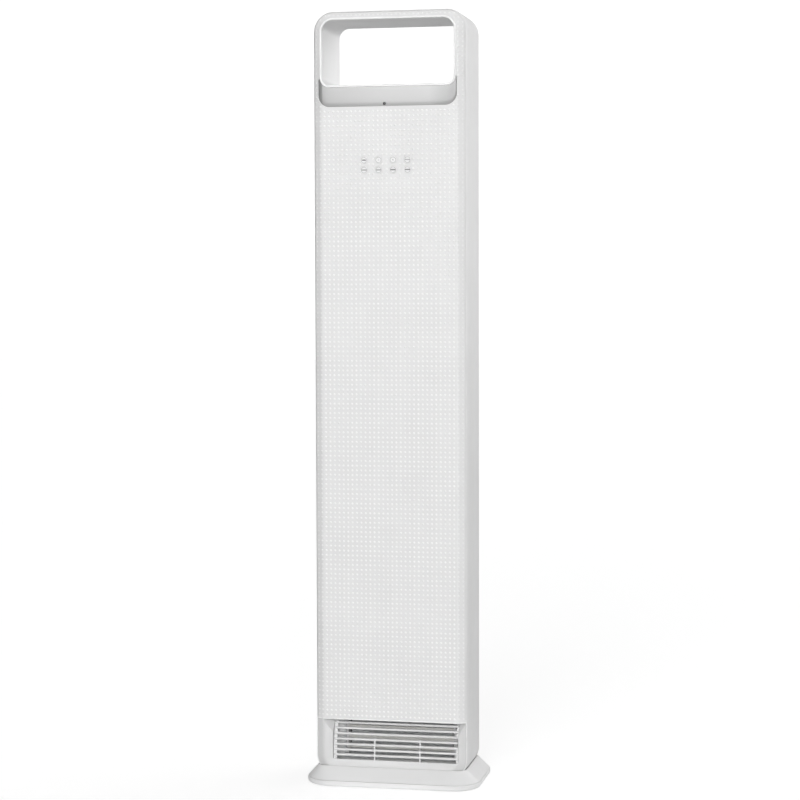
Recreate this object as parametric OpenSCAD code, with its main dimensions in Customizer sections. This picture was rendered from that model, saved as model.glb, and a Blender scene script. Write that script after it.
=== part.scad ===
// Tower ceramic (PTC) space heater: a slim column with a carry-through handle,
// a low warm-air outlet and a flared plinth.
// Frame: millimetres, +Z up, front faces -Y, origin at the middle of the footprint on the floor.

/* [Column] */
// Width of the column
body_w = 200; // [180:1:220]
// Depth of the column, front to back
body_d = 100; // [96:1:112]
// Height of the column's top above the floor
body_top = 1000; // [960:1:1100]
// Height of the column's underside, sunk into the plinth
body_bottom = 12; // [12:1:14]
// Radius of the four corners seen from the front
corner_r = 26; // [20:1:30]
// Radius of the long front edges
front_r = 12; // [8:1:14]
// Radius of the long rear edges
rear_r = 4; // [3:0.5:6]
// Wall of the moulded covers
wall = 2.2; // [1.8:0.1:3]
// How far the front cover wraps round the sides
wrap = 6; // [5:0.5:8]
// Height of the front cover's lower edge
cover_bottom = 86; // [84:1:92]

/* [Plinth] */
// Width of the plinth
base_w = 229; // [220:1:250]
// Depth of the plinth
base_d = 147; // [140:1:170]
// How far the plinth stands out in front of the column
base_front = 15; // [12:1:20]
// Height of the plinth's upright rim
rim_top = 8.3; // [8:0.1:10]
// Height at which the column leaves the plinth
seam_z = 25; // [24:0.5:28]
// Plan radius of the plinth's corners
base_r = 37; // [30:1:45]

/* [Handle] */
// Sideways place of the middle of the hand opening
hand_mid_x = -1.5; // [-3:0.1:3]
// Half width of the hand opening
hand_x = 85.7; // [80:0.1:86]
// Lower edge of the hand opening
hand_z0 = 905.6; // [895:0.1:915]
// Upper edge of the hand opening
hand_z1 = 988; // [975:0.1:988.5]
// Lower corner radius of the hand opening
hand_r0 = 10; // [8:0.5:14]
// Upper corner radius of the hand opening
hand_r1 = 14; // [10:0.5:18]
// Width of the rounded lip round the opening
lip = 3; // [2:0.5:4]

/* [Trim and keys] */
// Lower edge of the silver trim
trim_z0 = 878; // [870:1:890]
// Height of the trim's two pointed tips
trim_z1 = 913; // [908:1:918]
// Sideways place of the middle of the trim
trim_mid_x = -2.3; // [-3:0.1:3]
// Half width of the trim
trim_x = 90.3; // [89.5:0.1:91]
// Radius of the trim's lower corners
trim_r = 15; // [10:0.5:18]
// Sideways place of the middle of the key group
key_mid_x = -4; // [-8:0.5:8]
// Column spacing of the keys
key_pitch_x = 18.9; // [14:0.1:22]
// Height of the lower key row
key_z = 797; // [780:1:820]
// Row spacing of the keys
key_pitch_z = 12.6; // [12:0.1:16]
// Radius of a key
key_r = 4.5; // [4:0.1:5]
// Travel of a key
key_travel = 0.8; // [0.4:0.1:0.8]

/* [Outlet] */
// Sideways place of the middle of the outlet
outlet_mid_x = 6.2; // [0:0.1:7]
// Half width of the outlet
outlet_x = 82.8; // [78:0.1:83]
// Lower edge of the outlet
outlet_z0 = 34; // [32:1:36]
// Depth of the outlet's recess under the front cover
scoop = 14; // [8:1:16]
// Number of louvre blades
blades = 7; // [6:1:7]

/* [Fan and heater] */
// Radius of the cross-flow impeller
fan_r = 25; // [22:1:25]
// Height of the fan's axis
fan_z = 62; // [60:1:64]
// Number of impeller blades
fan_blades = 24; // [16:1:36]
// Radius of the motor's shaft
shaft_r = 2.5; // [2:0.1:3]
// Radial clearance of the shaft in its bearings
shaft_play = 0.05; // [0.02:0.01:0.1]

/* [Intake] */
// Half width of the filter cover
filter_x = 75; // [60:1:76]
// Lower edge of the filter cover
filter_z0 = 50; // [48:1:60]
// Upper edge of the filter cover
filter_z1 = 190; // [160:1:200]

/* [Hidden] */
$fn = 48;

// Clearances
fit = 0.3;          // between covers that are pushed together, and round moving pieces
slip = 0.1;         // round parts that are screwed or glued in place
over = 1;           // how far a cutter runs past the face it cuts

// Main planes of the column
front_y = base_front - base_d / 2;
rear_y = front_y + body_d;
side_x = body_w / 2;
split_y = front_y + wrap;
inner_front = front_y + wall;
inner_rear = rear_y - wall;

// Screw towers that join the two covers
tower_x = 86;
tower_z = [250, 540, 830];
tower_r = 4;
tower_y = -30;
tower_floor = 2;
screw_r = 1.25;
screw_hole_r = 1.7;
head_r = 3.3;
head_h = 2.4;
head_hole_r = 3.7;
well_wall = 1.6;
screw_len = 14;

// Keys and their board
key_cols = 4;
key_flange_r = 5.5;
key_front = front_y - 0.2;
key_flange_y = inner_front + fit;
key_flange_t = 1;
key_stem_r = 1.6;
key_stem_end = inner_front + 5.3;
guide_y = inner_front + 3.3;
guide_t = 1.2;
guide_edge = 8;
guide_pin_r = 1.5;
board_t = 1.6;
switch_w = 6;
switch_d = 3.5;
switch_tip_r = 1.7;
switch_tip_h = 0.8;
board_y = key_stem_end + key_travel + fit + switch_tip_h + switch_d;
board_x = [key_mid_x - 46, key_mid_x + 46];
board_z = [key_z - 17, key_z + 53];
board_post_r = 3;
board_hole_r = 1.5;
board_post_edge = 4;
board_screw_depth = 6;
board_head_r = 2.6;
board_head_h = 1.6;

// Trim, sensor and handle liner
liner_t = 2;
lip_y = front_y - 0.8;
skirt_y = front_y + 4.3;
skirt_t = 2;
skirt_edge = 1.2;
skirt_rise = 10;
rear_lip_t = 0.8;
trim_set_back = 0.6;
sensor_set_back = 0.3;
sensor_x = -5.5;
sensor_z = 881.4;
sensor_r = 2.2;
ir_can_w = 7;
ir_can_t = 4;
ir_board_w = 16;
ir_board_t = 1.2;

// Chassis, power board, terminal block and wiring bundle
chassis_y = 20;
chassis_t = 1.6;
chassis_x = 45;
chassis_z = [215, 870];
chassis_flange = 10;
chassis_block = 22;
power_x = [-38, 38];
power_z = [380, 520];
power_y = 15;
power_edge = 5;
relay_x = -30;
relay_z = 392;
relay_w = 16;
relay_d = 16;
relay_pitch = 24;
capacitor_r = 8;
terminal_x = 30;
terminal_z = 238;
terminal_d = 14;
terminal_pitch = 12;
terminal_bore_r = 2.5;
loom_x = -55;
loom_y = 4;
loom_r = 2.5;
loom_h = 560;

// Outlet
cover_ledge_t = 2;
bezel_top = cover_bottom - 0.2;
blade_set_back = 0.8;
blade_pitch = 6.75;
blade_t = 3;
blade_lift = 4.2;
blade_d = 8;
scoop_left = 14.9;
scoop_right = 15.2;
backing_x = 94.6;
scoop_h = 16;
scoop_back = 2;
outlet_left = outlet_mid_x - outlet_x;
outlet_right = outlet_mid_x + outlet_x;
rib_mid_x = outlet_mid_x + 2;
rib_x = 30;
rib_t = 2;
rib_top = 62;
end_t = 2;

// Air duct, fan and motor
fan_y = 5;
duct_t = 1.6;
duct_gap = 3;
duct_x = [-82, 72];
duct_front = -38;
duct_z = [outlet_z0, cover_bottom - 1];
hub_r = 6;
impeller_x = [duct_x[0] + duct_t + 1.4, duct_x[1] - duct_t - fit - 0.1];
motor_x = duct_x[1] + 2;
motor_r = 20;
motor_len = 21;
motor_screw_y = 15;
motor_pad_r = 2.4;
bracket_half = 22;
bearing_edge = 2;

// Heating element
ptc_y = [-35, -22.5];
ptc_x = 76;
ptc_bars = 3;
ptc_bar_h = 5;
ptc_rail = 2.5;
ptc_post = 3;
ptc_z = [duct_z[0] + 0.4, duct_z[1] - 0.4];
ptc_inner = [ptc_z[0] + ptc_rail, ptc_z[1] - ptc_rail];
ptc_row_h = (ptc_inner[1] - ptc_inner[0] - ptc_bars * ptc_bar_h) / (ptc_bars + 1);
fin_pitch = 4;
fin_t = 0.6;
thermostat_x = 40;

// Filter cover's slots and the net's fields
filter_edge = 7;
slot_gap = 8;
slot_rows = 18;
slot_z = 8;
slot_h = 3;
slot_pitch = 7;
clip_w = 3;
net_pitch_x = 27.2;
net_pitch_z = 32;
net_w = 25;
net_h = 29;
net_t = 0.6;

// Plinth inside
plate_z = [1, 3.2];
shell_t = 2.5;
groove = 0.3;
flare_edge = 0.4;
base_boss_r = 3.2;
base_screw_len = 7;
base_head_r = 2.6;
base_head_hole_r = 2.9;
tub_z = body_bottom - 2.5;
mouth_x = side_x - 3;
foot_r = 9;
foot_at = [[-88, -50], [88, -50], [-88, 50], [88, 50]];
foot_peg_r = 3;
base_screw_at = [[-70, -65.5], [70, -65.5], [-70, 60], [70, 60]];
column_screw_at = [[-68, -35], [68, -35], [-68, 25], [68, 25]];
column_boss_r = 5;
column_boss_h = 8;

// Tip-over switch
tip_x = -35;
tip_y = 50;
tip_drop = 3.5;
tip_tip_z = 0.15;
tip_r = 2.8;
tip_wall = 1.3;
tip_flange_z = plate_z[1] + tip_wall + tip_drop + 0.2;
tip_flange_t = 1;
tip_flange_r = 4;
tip_bore_r = tip_flange_r + fit + 0.1;
tip_top = 14.2;
tip_half = [8, 6];
spring_r = 3.3;
spring_wire_r = 0.3;
spring_turns = 4;

// Cord gland: only the inlet, the cord is not part of the model
gland_x = -60;
gland_z = 37;
gland_r = 5.5;
gland_bore_r = 3.6;
gland_depth = 3;
gland_flange = 2;

// Colours
white = [0.93, 0.93, 0.93];
off_white = [0.86, 0.86, 0.86];
silver = [0.76, 0.76, 0.77];
dark = [0.14, 0.14, 0.15];
green = [0.08, 0.33, 0.2];
steel = [0.68, 0.69, 0.7];
brass = [0.78, 0.62, 0.3];
ceramic = [0.85, 0.8, 0.7];

// ---------- Outlines ----------

// Rectangle with its own radius at each corner: r = [x0y0, x1y0, x1y1, x0y1]
module rounded(x0, y0, x1, y1, r) {
    polygon([[x0 + r[0], y0], [x1 - r[1], y0], [x1, y0 + r[1]], [x1, y1 - r[2]],
        [x1 - r[2], y1], [x0 + r[3], y1], [x0, y1 - r[3]], [x0, y0 + r[0]]]);
    translate([x0 + r[0], y0 + r[0]]) circle(r[0]);
    translate([x1 - r[1], y0 + r[1]]) circle(r[1]);
    translate([x1 - r[2], y1 - r[2]]) circle(r[2]);
    translate([x0 + r[3], y1 - r[3]]) circle(r[3]);
}

// Puts an outline drawn in X and Z upright, filling y0 to y1
module upright(y0, y1) {
    translate([0, y1, 0]) rotate([90, 0, 0]) linear_extrude(y1 - y0) children();
}

// Puts an outline drawn in Y and Z across the heater, filling x0 to x1
module across(x0, x1) {
    translate([x0, 0, 0]) rotate([90, 0, 90]) linear_extrude(x1 - x0) children();
}

// Round bar along Y, from y0 to y1
module rod_y(x, z, r, y0, y1) {
    translate([x, y1, z]) rotate([90, 0, 0]) cylinder(r = r, h = y1 - y0);
}

// Round bar along X, from x0 to x1
module rod_x(y, z, r, x0, x1) {
    translate([x0, y, z]) rotate([0, 90, 0]) cylinder(r = r, h = x1 - x0);
}

// Block given by its two opposite corners
module block(a, b) {
    translate(a) cube(b - a);
}

// Hand opening grown by g
module hand_outline(g) {
    rounded(hand_mid_x - hand_x - g, hand_z0 - g, hand_mid_x + hand_x + g, hand_z1 + g,
        [hand_r0 + g, hand_r0 + g, hand_r1 + g, hand_r1 + g]);
}

// Round corner of the column, as deep as the column, with its front and rear edges rounded
module corner_disc(g) {
    rf = front_r + g;
    rr = rear_r + g;
    rc = corner_r + g;
    rotate([-90, 0, 0]) rotate_extrude($fn = 32) {
        polygon([[0, front_y - g], [rc - rf, front_y - g], [rc, front_y - g + rf],
            [rc, rear_y + g - rr], [rc - rr, rear_y + g], [0, rear_y + g]]);
        translate([rc - rf, front_y - g + rf]) circle(rf, $fn = 32);
        translate([rc - rr, rear_y + g - rr]) circle(rr, $fn = 32);
    }
}

// Column's outer form, grown by g (negative for the inside)
module body_form(g) {
    hull()
        for (s = [-1, 1])
            for (z = [body_bottom + corner_r, body_top - corner_r])
                translate([s * (side_x - corner_r), 0, z]) corner_disc(g);
}

module body_skin() {
    difference() {
        body_form(0);
        body_form(-wall);
    }
}

// ---------- Column covers ----------

function key_at(i) = [key_mid_x + (i % key_cols - (key_cols - 1) / 2) * key_pitch_x,
    key_z + (i < key_cols ? key_pitch_z : 0)];

// Outline of the silver trim, a band under the hand opening with two rising tips
module trim_outline(g) {
    difference() {
        rounded(trim_mid_x - trim_x - g, trim_z0 - g, trim_mid_x + trim_x + g, trim_z1 + g,
            [trim_r + g, trim_r + g, g + 0.2, g + 0.2]);
        hand_outline(lip + slip - g);
    }
}

function board_posts() = [for (x = [board_x[0] + board_post_edge, board_x[1] - board_post_edge])
    for (z = [board_z[0] + board_post_edge, board_z[1] - board_post_edge]) [x, z]];

// Slab just behind the front skin, from x0 to the right edge, as deep as the outlet's recess
module front_backing(x0, z0, z1) {
    y0 = front_y + 1;
    y1 = front_y + scoop + scoop_back;
    translate([0, 0, z0]) linear_extrude(z1 - z0)
        polygon([[x0, y0], [side_x - front_r, y0], [backing_x, front_y + 3.4], [backing_x, y1], [x0, y1]]);
}

module front_cover() color(white) difference() {
    union() {
        difference() {
            intersection() {
                body_skin();
                block([-side_x - over, front_y - over, cover_bottom],
                    [side_x + over, split_y, body_top + over]);
            }
            upright(front_y - over, split_y + over) hand_outline(lip + fit);
            upright(front_y - over, split_y + over) trim_outline(slip);
        }
        // Ledge that roofs the outlet's recess
        front_backing(front_r - side_x, cover_bottom, cover_bottom + cover_ledge_t);
        for (s = [-1, 1])
            for (z = tower_z)
                rod_y(s * tower_x, z, tower_r, front_y + 1, tower_y);
        for (p = board_posts())
            rod_y(p[0], p[1], board_post_r, front_y + 1, board_y);
    }
    for (s = [-1, 1])
        for (z = tower_z)
            rod_y(s * tower_x, z, screw_r + slip / 2, tower_y - screw_len, tower_y + over);
    for (p = board_posts())
        rod_y(p[0], p[1], screw_r + slip / 2, board_y - board_screw_depth - 1, board_y + over);
    for (i = [0 : 2 * key_cols - 1])
        rod_y(key_at(i)[0], key_at(i)[1], key_r + fit, front_y - over, inner_front + over);
}

module rear_casing() color(white) difference() {
    union() {
        difference() {
            intersection() {
                body_skin();
                block([-side_x - over, split_y, body_bottom - over],
                    [side_x + over, rear_y + over, body_top + over]);
            }
            upright(split_y - over, rear_y + over) hand_outline(liner_t + slip);
            block([-filter_x - fit, inner_rear - over, filter_z0 - fit],
                [filter_x + fit, rear_y + over, filter_z1 + fit]);
        }
        for (s = [-1, 1])
            for (z = tower_z)
                rod_y(s * tower_x, z, head_hole_r + well_wall, tower_y, rear_y - 1);
        for (p = column_screw_at)
            translate([p[0], p[1], body_bottom + 1]) cylinder(r = column_boss_r, h = column_boss_h);
        for (z = [chassis_z[0] + chassis_block, chassis_z[1] - chassis_block])
            block([-chassis_block / 2, chassis_y + chassis_t, z - chassis_block / 2],
                [chassis_block / 2, rear_y - 1, z + chassis_block / 2]);
    }
    for (s = [-1, 1])
        for (z = tower_z) {
            rod_y(s * tower_x, z, head_hole_r, tower_y + tower_floor, rear_y + over);
            rod_y(s * tower_x, z, screw_hole_r, tower_y - over, tower_y + tower_floor + over);
        }
    for (p = column_screw_at)
        translate([p[0], p[1], body_bottom - over]) cylinder(r = screw_r + slip / 2, h = column_boss_h);
    rod_y(gland_x, gland_z, gland_r + slip, inner_rear - over, rear_y + over);
}

module handle_liner() color(white) difference() {
    union() {
        upright(front_y, rear_y) hand_outline(liner_t);
        upright(lip_y, front_y + 1) hand_outline(lip);
        upright(rear_y, rear_y + rear_lip_t) hand_outline(lip);
        // Skirt that carries the trim
        upright(skirt_y, skirt_y + skirt_t)
            rounded(trim_mid_x - trim_x - skirt_edge, trim_z0 - 2 * skirt_edge,
                trim_mid_x + trim_x + skirt_edge, hand_z0 + skirt_rise, [8, 8, 2, 2]);
    }
    upright(lip_y - over, rear_y + 2 * over) hand_outline(0);
    rod_y(sensor_x, sensor_z, sensor_r - 0.4, skirt_y - over, skirt_y + skirt_t + over);
}

module trim_strip() color(silver) difference() {
    upright(front_y + trim_set_back, skirt_y) trim_outline(0);
    rod_y(sensor_x, sensor_z, sensor_r + slip, front_y - over, skirt_y + over);
}

module sensor_window() color(dark) {
    rod_y(sensor_x, sensor_z, sensor_r, front_y + sensor_set_back, skirt_y);
}

// Receiver can behind the lens, on its own small board
module ir_receiver() color(dark) {
    y0 = skirt_y + skirt_t;
    y1 = y0 + ir_can_t;
    block([sensor_x - ir_can_w / 2, y0, sensor_z - 5], [sensor_x + ir_can_w / 2, y1, sensor_z + 3]);
    block([sensor_x - ir_board_w / 2, y1, sensor_z - ir_board_w / 2],
        [sensor_x + ir_board_w / 2, y1 + ir_board_t, sensor_z + ir_board_w / 2]);
}

// ---------- Keys and their board ----------

module key(i) color(off_white) {
    p = key_at(i);
    rod_y(p[0], p[1], key_r, key_front, key_flange_y + key_flange_t);
    rod_y(p[0], p[1], key_flange_r, key_flange_y, key_flange_y + key_flange_t);
    rod_y(p[0], p[1], key_stem_r, key_flange_y, key_stem_end);
}

module key_guide() color(off_white) difference() {
    union() {
        block([board_x[0] + guide_edge, guide_y, key_z - 9],
            [board_x[1] - guide_edge, guide_y + guide_t, key_z + key_pitch_z + 9]);
        for (x = [board_x[0] + guide_edge + 2, board_x[1] - guide_edge - 2])
            rod_y(x, key_z + key_pitch_z / 2, guide_pin_r, inner_front, guide_y + guide_t);
    }
    for (i = [0 : 2 * key_cols - 1])
        rod_y(key_at(i)[0], key_at(i)[1], key_stem_r + fit, guide_y - over, guide_y + guide_t + over);
}

module control_board() color(green) difference() {
    block([board_x[0], board_y, board_z[0]], [board_x[1], board_y + board_t, board_z[1]]);
    for (p = board_posts())
        rod_y(p[0], p[1], board_hole_r, board_y - over, board_y + board_t + over);
}

module tact_switches() color(dark)
    for (i = [0 : 2 * key_cols - 1]) {
        p = key_at(i);
        h = switch_w / 2;
        block([p[0] - h, board_y - switch_d, p[1] - h], [p[0] + h, board_y, p[1] + h]);
        rod_y(p[0], p[1], switch_tip_r, board_y - switch_d - switch_tip_h, board_y - switch_d);
    }

module board_screws() color(steel)
    for (p = board_posts()) {
        rod_y(p[0], p[1], screw_r, board_y - board_screw_depth, board_y + board_t);
        rod_y(p[0], p[1], board_head_r, board_y + board_t, board_y + board_t + board_head_h);
    }

// ---------- Chassis and power electronics ----------

module inner_chassis() color(steel) {
    block([-chassis_x, chassis_y, chassis_z[0]], [chassis_x, chassis_y + chassis_t, chassis_z[1]]);
    for (s = [-1, 1])
        block([s * chassis_x - chassis_t / 2, chassis_y - chassis_flange, chassis_z[0]],
            [s * chassis_x + chassis_t / 2, chassis_y + chassis_t, chassis_z[1]]);
    for (x = [power_x[0] + power_edge, power_x[1] - power_edge])
        for (z = [power_z[0] + power_edge, power_z[1] - power_edge])
            rod_y(x, z, board_post_r, power_y + board_t, chassis_y);
}

module power_board() color(green)
    block([power_x[0], power_y, power_z[0]], [power_x[1], power_y + board_t, power_z[1]]);

// Three relays, a transformer, a capacitor and a fuse holder
module power_components() color(dark) {
    for (i = [0 : 2])
        block([relay_x, power_y - relay_d, relay_z + i * relay_pitch],
            [relay_x + relay_w, power_y, relay_z + i * relay_pitch + 20]);
    block([4, power_y - 20, 400], [30, power_y, 432]);
    rod_y(14, 460, capacitor_r, power_y - 22, power_y);
    block([-28, power_y - 11, 478], [-10, power_y, 500]);
}

module terminal_block() color(off_white) difference() {
    block([-terminal_x, chassis_y - terminal_d, terminal_z - 8], [terminal_x, chassis_y, terminal_z + 8]);
    for (i = [-2 : 2])
        rod_y(i * terminal_pitch, terminal_z, terminal_bore_r, chassis_y - terminal_d - over, chassis_y - 6);
}

// Wires tied into one bundle, from the terminal block past the power board to the control board
module wiring_loom() color(dark) {
    z0 = terminal_z + 12;
    z1 = z0 + loom_h;
    y1 = board_y + board_t + 8;
    rod_x(loom_y, z0, loom_r, loom_x, loom_x + 35);
    translate([loom_x, loom_y, z0]) cylinder(r = loom_r, h = loom_h);
    rod_y(loom_x, z1, loom_r, y1, loom_y);
    rod_x(y1, z1, loom_r, loom_x, loom_x + 25);
    rod_y(loom_x + 25, z1, loom_r, board_y + board_t, y1);
    for (p = [[loom_x, loom_y, z0], [loom_x, loom_y, z1], [loom_x, y1, z1], [loom_x + 25, y1, z1]])
        translate(p) sphere(loom_r);
}

// ---------- Outlet ----------

// Front edge of the grille at height z: flush low down, drawn back under the cover
function grille_y(z) = front_y + blade_set_back
    + (scoop - 2) * pow((z - outlet_z0) / (cover_bottom - outlet_z0), 2);

module outlet_bezel() color(white) difference() {
    union() {
        intersection() {
            body_skin();
            block([-side_x - over, front_y - over, body_bottom - over], [side_x + over, split_y, bezel_top]);
        }
        // Backing for the recess, and the frame that meets the duct
        difference() {
            front_backing(outlet_left - scoop_left + 3, outlet_z0 - duct_t, bezel_top);
            block([outlet_left, front_y, outlet_z0], [outlet_right, front_y + scoop + 3, cover_bottom]);
        }
    }
    block([outlet_left, front_y - over, outlet_z0], [outlet_right, split_y, cover_bottom]);
    // Slanted recess under the front cover
    hull() {
        block([outlet_left, front_y - over, cover_bottom - scoop_h],
            [outlet_right, front_y, cover_bottom - scoop_h + 0.1]);
        block([outlet_left - scoop_left, front_y - over, cover_bottom],
            [outlet_right + scoop_right, front_y, cover_bottom + over]);
        block([outlet_left, front_y - over, cover_bottom],
            [outlet_right, front_y + scoop, cover_bottom + over]);
    }
}

// Upright plate between heights z0 and z1 whose front follows the blades, set back by inset
module grille_plate(x0, x1, z0, z1, inset) {
    steps = 8;
    zs = [for (k = [0 : steps]) z0 + (z1 - z0) * k / steps];
    across(x0, x1)
        polygon(concat(
            [for (k = [0 : steps]) [grille_y(zs[k]) + inset, zs[k]]],
            [for (k = [steps : -1 : 0]) [grille_y(zs[k]) + blade_d - inset, zs[k]]]));
}

module outlet_grille() color(off_white) {
    for (i = [0 : blades - 1]) {
        z = outlet_z0 + blade_lift + i * blade_pitch;
        block([outlet_left + end_t, grille_y(z), z],
            [outlet_right - end_t, grille_y(z) + blade_d, z + blade_t]);
    }
    for (s = [-1, 1]) {
        end_x = outlet_mid_x + s * (outlet_x - slip - end_t / 2);
        mid_x = rib_mid_x + s * rib_x;
        grille_plate(end_x - end_t / 2, end_x + end_t / 2, outlet_z0 + slip, cover_bottom - 0.4, 1);
        grille_plate(mid_x - rib_t / 2, mid_x + rib_t / 2, outlet_z0 + slip, rib_top, 1);
    }
}

// ---------- Fan, duct and heating element ----------

// Puts the fan and heating element, drawn with the motor on the right, behind the outlet with the motor
// on the left
module fan_side() {
    translate([outlet_mid_x, 0, 0]) mirror([1, 0, 0]) children();
}

module duct_outline(g) {
    translate([fan_y, fan_z]) circle(fan_r + duct_gap + g);
    polygon([[duct_front, duct_z[0] - g], [fan_y, duct_z[0] - g],
        [fan_y, duct_z[1] + g], [duct_front, duct_z[1] + g]]);
}

module air_duct() color(steel) fan_side() difference() {
    across(duct_x[0], duct_x[1]) duct_outline(duct_t);
    across(duct_x[0] + duct_t, duct_x[1] - duct_t) duct_outline(0);
    // Open front, and the air intake at the upper rear
    block([duct_x[0] + duct_t, duct_front - over, duct_z[0]],
        [duct_x[1] - duct_t, duct_front + over, duct_z[1]]);
    block([duct_x[0] + duct_t, fan_y + 3, fan_z + 4],
        [duct_x[1] - duct_t, fan_y + 60, fan_z + 60]);
    rod_x(fan_y, fan_z, hub_r + slip / 2, duct_x[0] - over, duct_x[1] + over);
}

module fan_impeller() color(dark) fan_side() difference() {
    union() {
        for (x = [impeller_x[0], -30, 20, impeller_x[1] - 2])
            rod_x(fan_y, fan_z, fan_r, x, x + 2);
        for (i = [0 : fan_blades - 1])
            translate([impeller_x[0], fan_y, fan_z]) rotate([i * 360 / fan_blades, 0, 0])
                translate([0, fan_r - 8, 0]) rotate([25, 0, 0])
                    cube([impeller_x[1] - impeller_x[0], 7, 0.8]);
        rod_x(fan_y, fan_z, hub_r - 1, impeller_x[1] - 10, impeller_x[1]);
        rod_x(fan_y, fan_z, shaft_r, duct_x[0] - 1, impeller_x[0] + 2);
    }
    rod_x(fan_y, fan_z, shaft_r, impeller_x[1] - 8, impeller_x[1] + over);
}

module motor_shaft() color(steel) fan_side()
    rod_x(fan_y, fan_z, shaft_r, impeller_x[1] - 8, motor_x + 15);

module fan_motor() color(steel) fan_side() difference() {
    union() {
        rod_x(fan_y, fan_z, motor_r, motor_x, motor_x + motor_len);
        for (s = [-1, 1])
            rod_x(fan_y + s * motor_screw_y, fan_z, motor_pad_r, motor_x - 1, motor_x + 1);
    }
    rod_x(fan_y, fan_z, shaft_r + shaft_play, motor_x - over, motor_x + 16);
    for (s = [-1, 1])
        rod_x(fan_y + s * motor_screw_y, fan_z, screw_r + slip / 2, motor_x - 2, motor_x + 6);
}

module motor_bracket() color(steel) fan_side() difference() {
    block([duct_x[1], fan_y - bracket_half, fan_z - bracket_half],
        [duct_x[1] + 1, fan_y + bracket_half, fan_z + bracket_half]);
    rod_x(fan_y, fan_z, hub_r + bearing_edge, duct_x[1] - over, duct_x[1] + 2 * over);
    for (s = [-1, 1])
        rod_x(fan_y + s * motor_screw_y, fan_z, screw_hole_r, duct_x[1] - over, duct_x[1] + 2 * over);
}

module motor_screws() color(steel) fan_side()
    for (s = [-1, 1])
        rod_x(fan_y + s * motor_screw_y, fan_z, screw_r, duct_x[1] + 0.1, motor_x + 5);

module fan_bearing() color(brass) fan_side() difference() {
    union() {
        rod_x(fan_y, fan_z, hub_r, duct_x[0] - 2, duct_x[0] + duct_t);
        rod_x(fan_y, fan_z, hub_r + bearing_edge, duct_x[0] - 3, duct_x[0]);
    }
    rod_x(fan_y, fan_z, shaft_r + shaft_play, duct_x[0] - 4, duct_x[0] + duct_t + over);
}

module ptc_frame() color(off_white) fan_side() {
    for (z = [ptc_z[0], ptc_inner[1]])
        block([-ptc_x, ptc_y[0], z], [ptc_x - 2 * ptc_post, ptc_y[1], z + ptc_rail]);
    for (x = [-ptc_x, ptc_x - 3 * ptc_post])
        block([x, ptc_y[0], ptc_z[0]], [x + ptc_post, ptc_y[1], ptc_z[1]]);
}

module ptc_elements() color(ceramic) fan_side()
    for (i = [0 : ptc_bars - 1]) {
        z = ptc_inner[0] + ptc_row_h + i * (ptc_row_h + ptc_bar_h);
        block([-ptc_x + ptc_post, ptc_y[0] + 2, z], [ptc_x - 3 * ptc_post, ptc_y[1] - 2, z + ptc_bar_h]);
    }

// One folded aluminium strip, a square-wave sheet between two heating bars
module fin_row(z0) {
    x0 = -ptc_x + 4;
    n = floor((2 * ptc_x - 14) / (2 * fin_pitch));
    z1 = z0 + ptc_row_h;
    upper = [for (k = [0 : n - 1]) for (p = [
        [x0 + 2 * k * fin_pitch, z1], [x0 + (2 * k + 1) * fin_pitch + fin_t, z1],
        [x0 + (2 * k + 1) * fin_pitch + fin_t, z0 + fin_t], [x0 + (2 * k + 2) * fin_pitch, z0 + fin_t]]) p];
    lower = [for (k = [n - 1 : -1 : 0]) for (p = [
        [x0 + (2 * k + 2) * fin_pitch, z0], [x0 + (2 * k + 1) * fin_pitch, z0],
        [x0 + (2 * k + 1) * fin_pitch, z1 - fin_t], [x0 + 2 * k * fin_pitch + fin_t, z1 - fin_t]]) p];
    upright(ptc_y[0] + 2, ptc_y[1] - 2)
        polygon(concat([[x0, z0]], upper, lower, [[x0 + fin_t, z0]]));
}

module ptc_fins() color(silver) fan_side()
    for (i = [0 : ptc_bars])
        fin_row(ptc_inner[0] + i * (ptc_row_h + ptc_bar_h));

module overheat_thermostat() color(dark) fan_side() {
    translate([thermostat_x, -30, duct_z[1] + duct_t]) cylinder(r = 8, h = 4);
    translate([thermostat_x, -30, duct_z[1] + duct_t + 4]) cylinder(r = 6, h = 4);
}

// ---------- Intake ----------

module filter_cover() color(white) difference() {
    union() {
        block([-filter_x, inner_rear, filter_z0], [filter_x, rear_y, filter_z1]);
        // Spring clips along both sides
        for (x = [-filter_x + 2, filter_x - 2])
            for (z = [filter_z0 + 20, filter_z1 - 30])
                block([x - clip_w / 2, inner_rear - clip_w, z], [x + clip_w / 2, inner_rear + 1, z + 10]);
    }
    for (x = [-filter_x + filter_edge, slot_gap / 2])
        for (i = [0 : slot_rows - 1]) {
            z = filter_z0 + slot_z + i * slot_pitch;
            x1 = x + filter_x - filter_edge - slot_gap / 2;
            block([x, inner_rear - over, z], [x1, rear_y + over, z + slot_h]);
        }
}

// Net in its frame, drawn as a thin sheet with thinner fields between its bars
module filter_mesh() color(dark) difference() {
    block([-filter_x + 5, inner_rear - 2, filter_z0 + 4], [filter_x - 5, inner_rear, filter_z1 - 4]);
    for (i = [0 : 4])
        for (j = [0 : 3]) {
            x = -filter_x + 8 + i * net_pitch_x;
            z = filter_z0 + 7 + j * net_pitch_z;
            block([x, inner_rear - 3, z], [x + net_w, inner_rear - net_t, z + net_h]);
        }
}

// ---------- Plinth ----------

module plinth_outline(g) {
    rounded(-base_w / 2 - g, -base_d / 2 - g, base_w / 2 + g, base_d / 2 + g,
        [base_r + g, base_r + g, base_r + g, base_r + g]);
}

module mouth_outline(g) {
    rounded(-mouth_x - g, front_y - g, mouth_x + g, rear_y + g,
        [front_r + g, front_r + g, rear_r + g, rear_r + g]);
}

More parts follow.
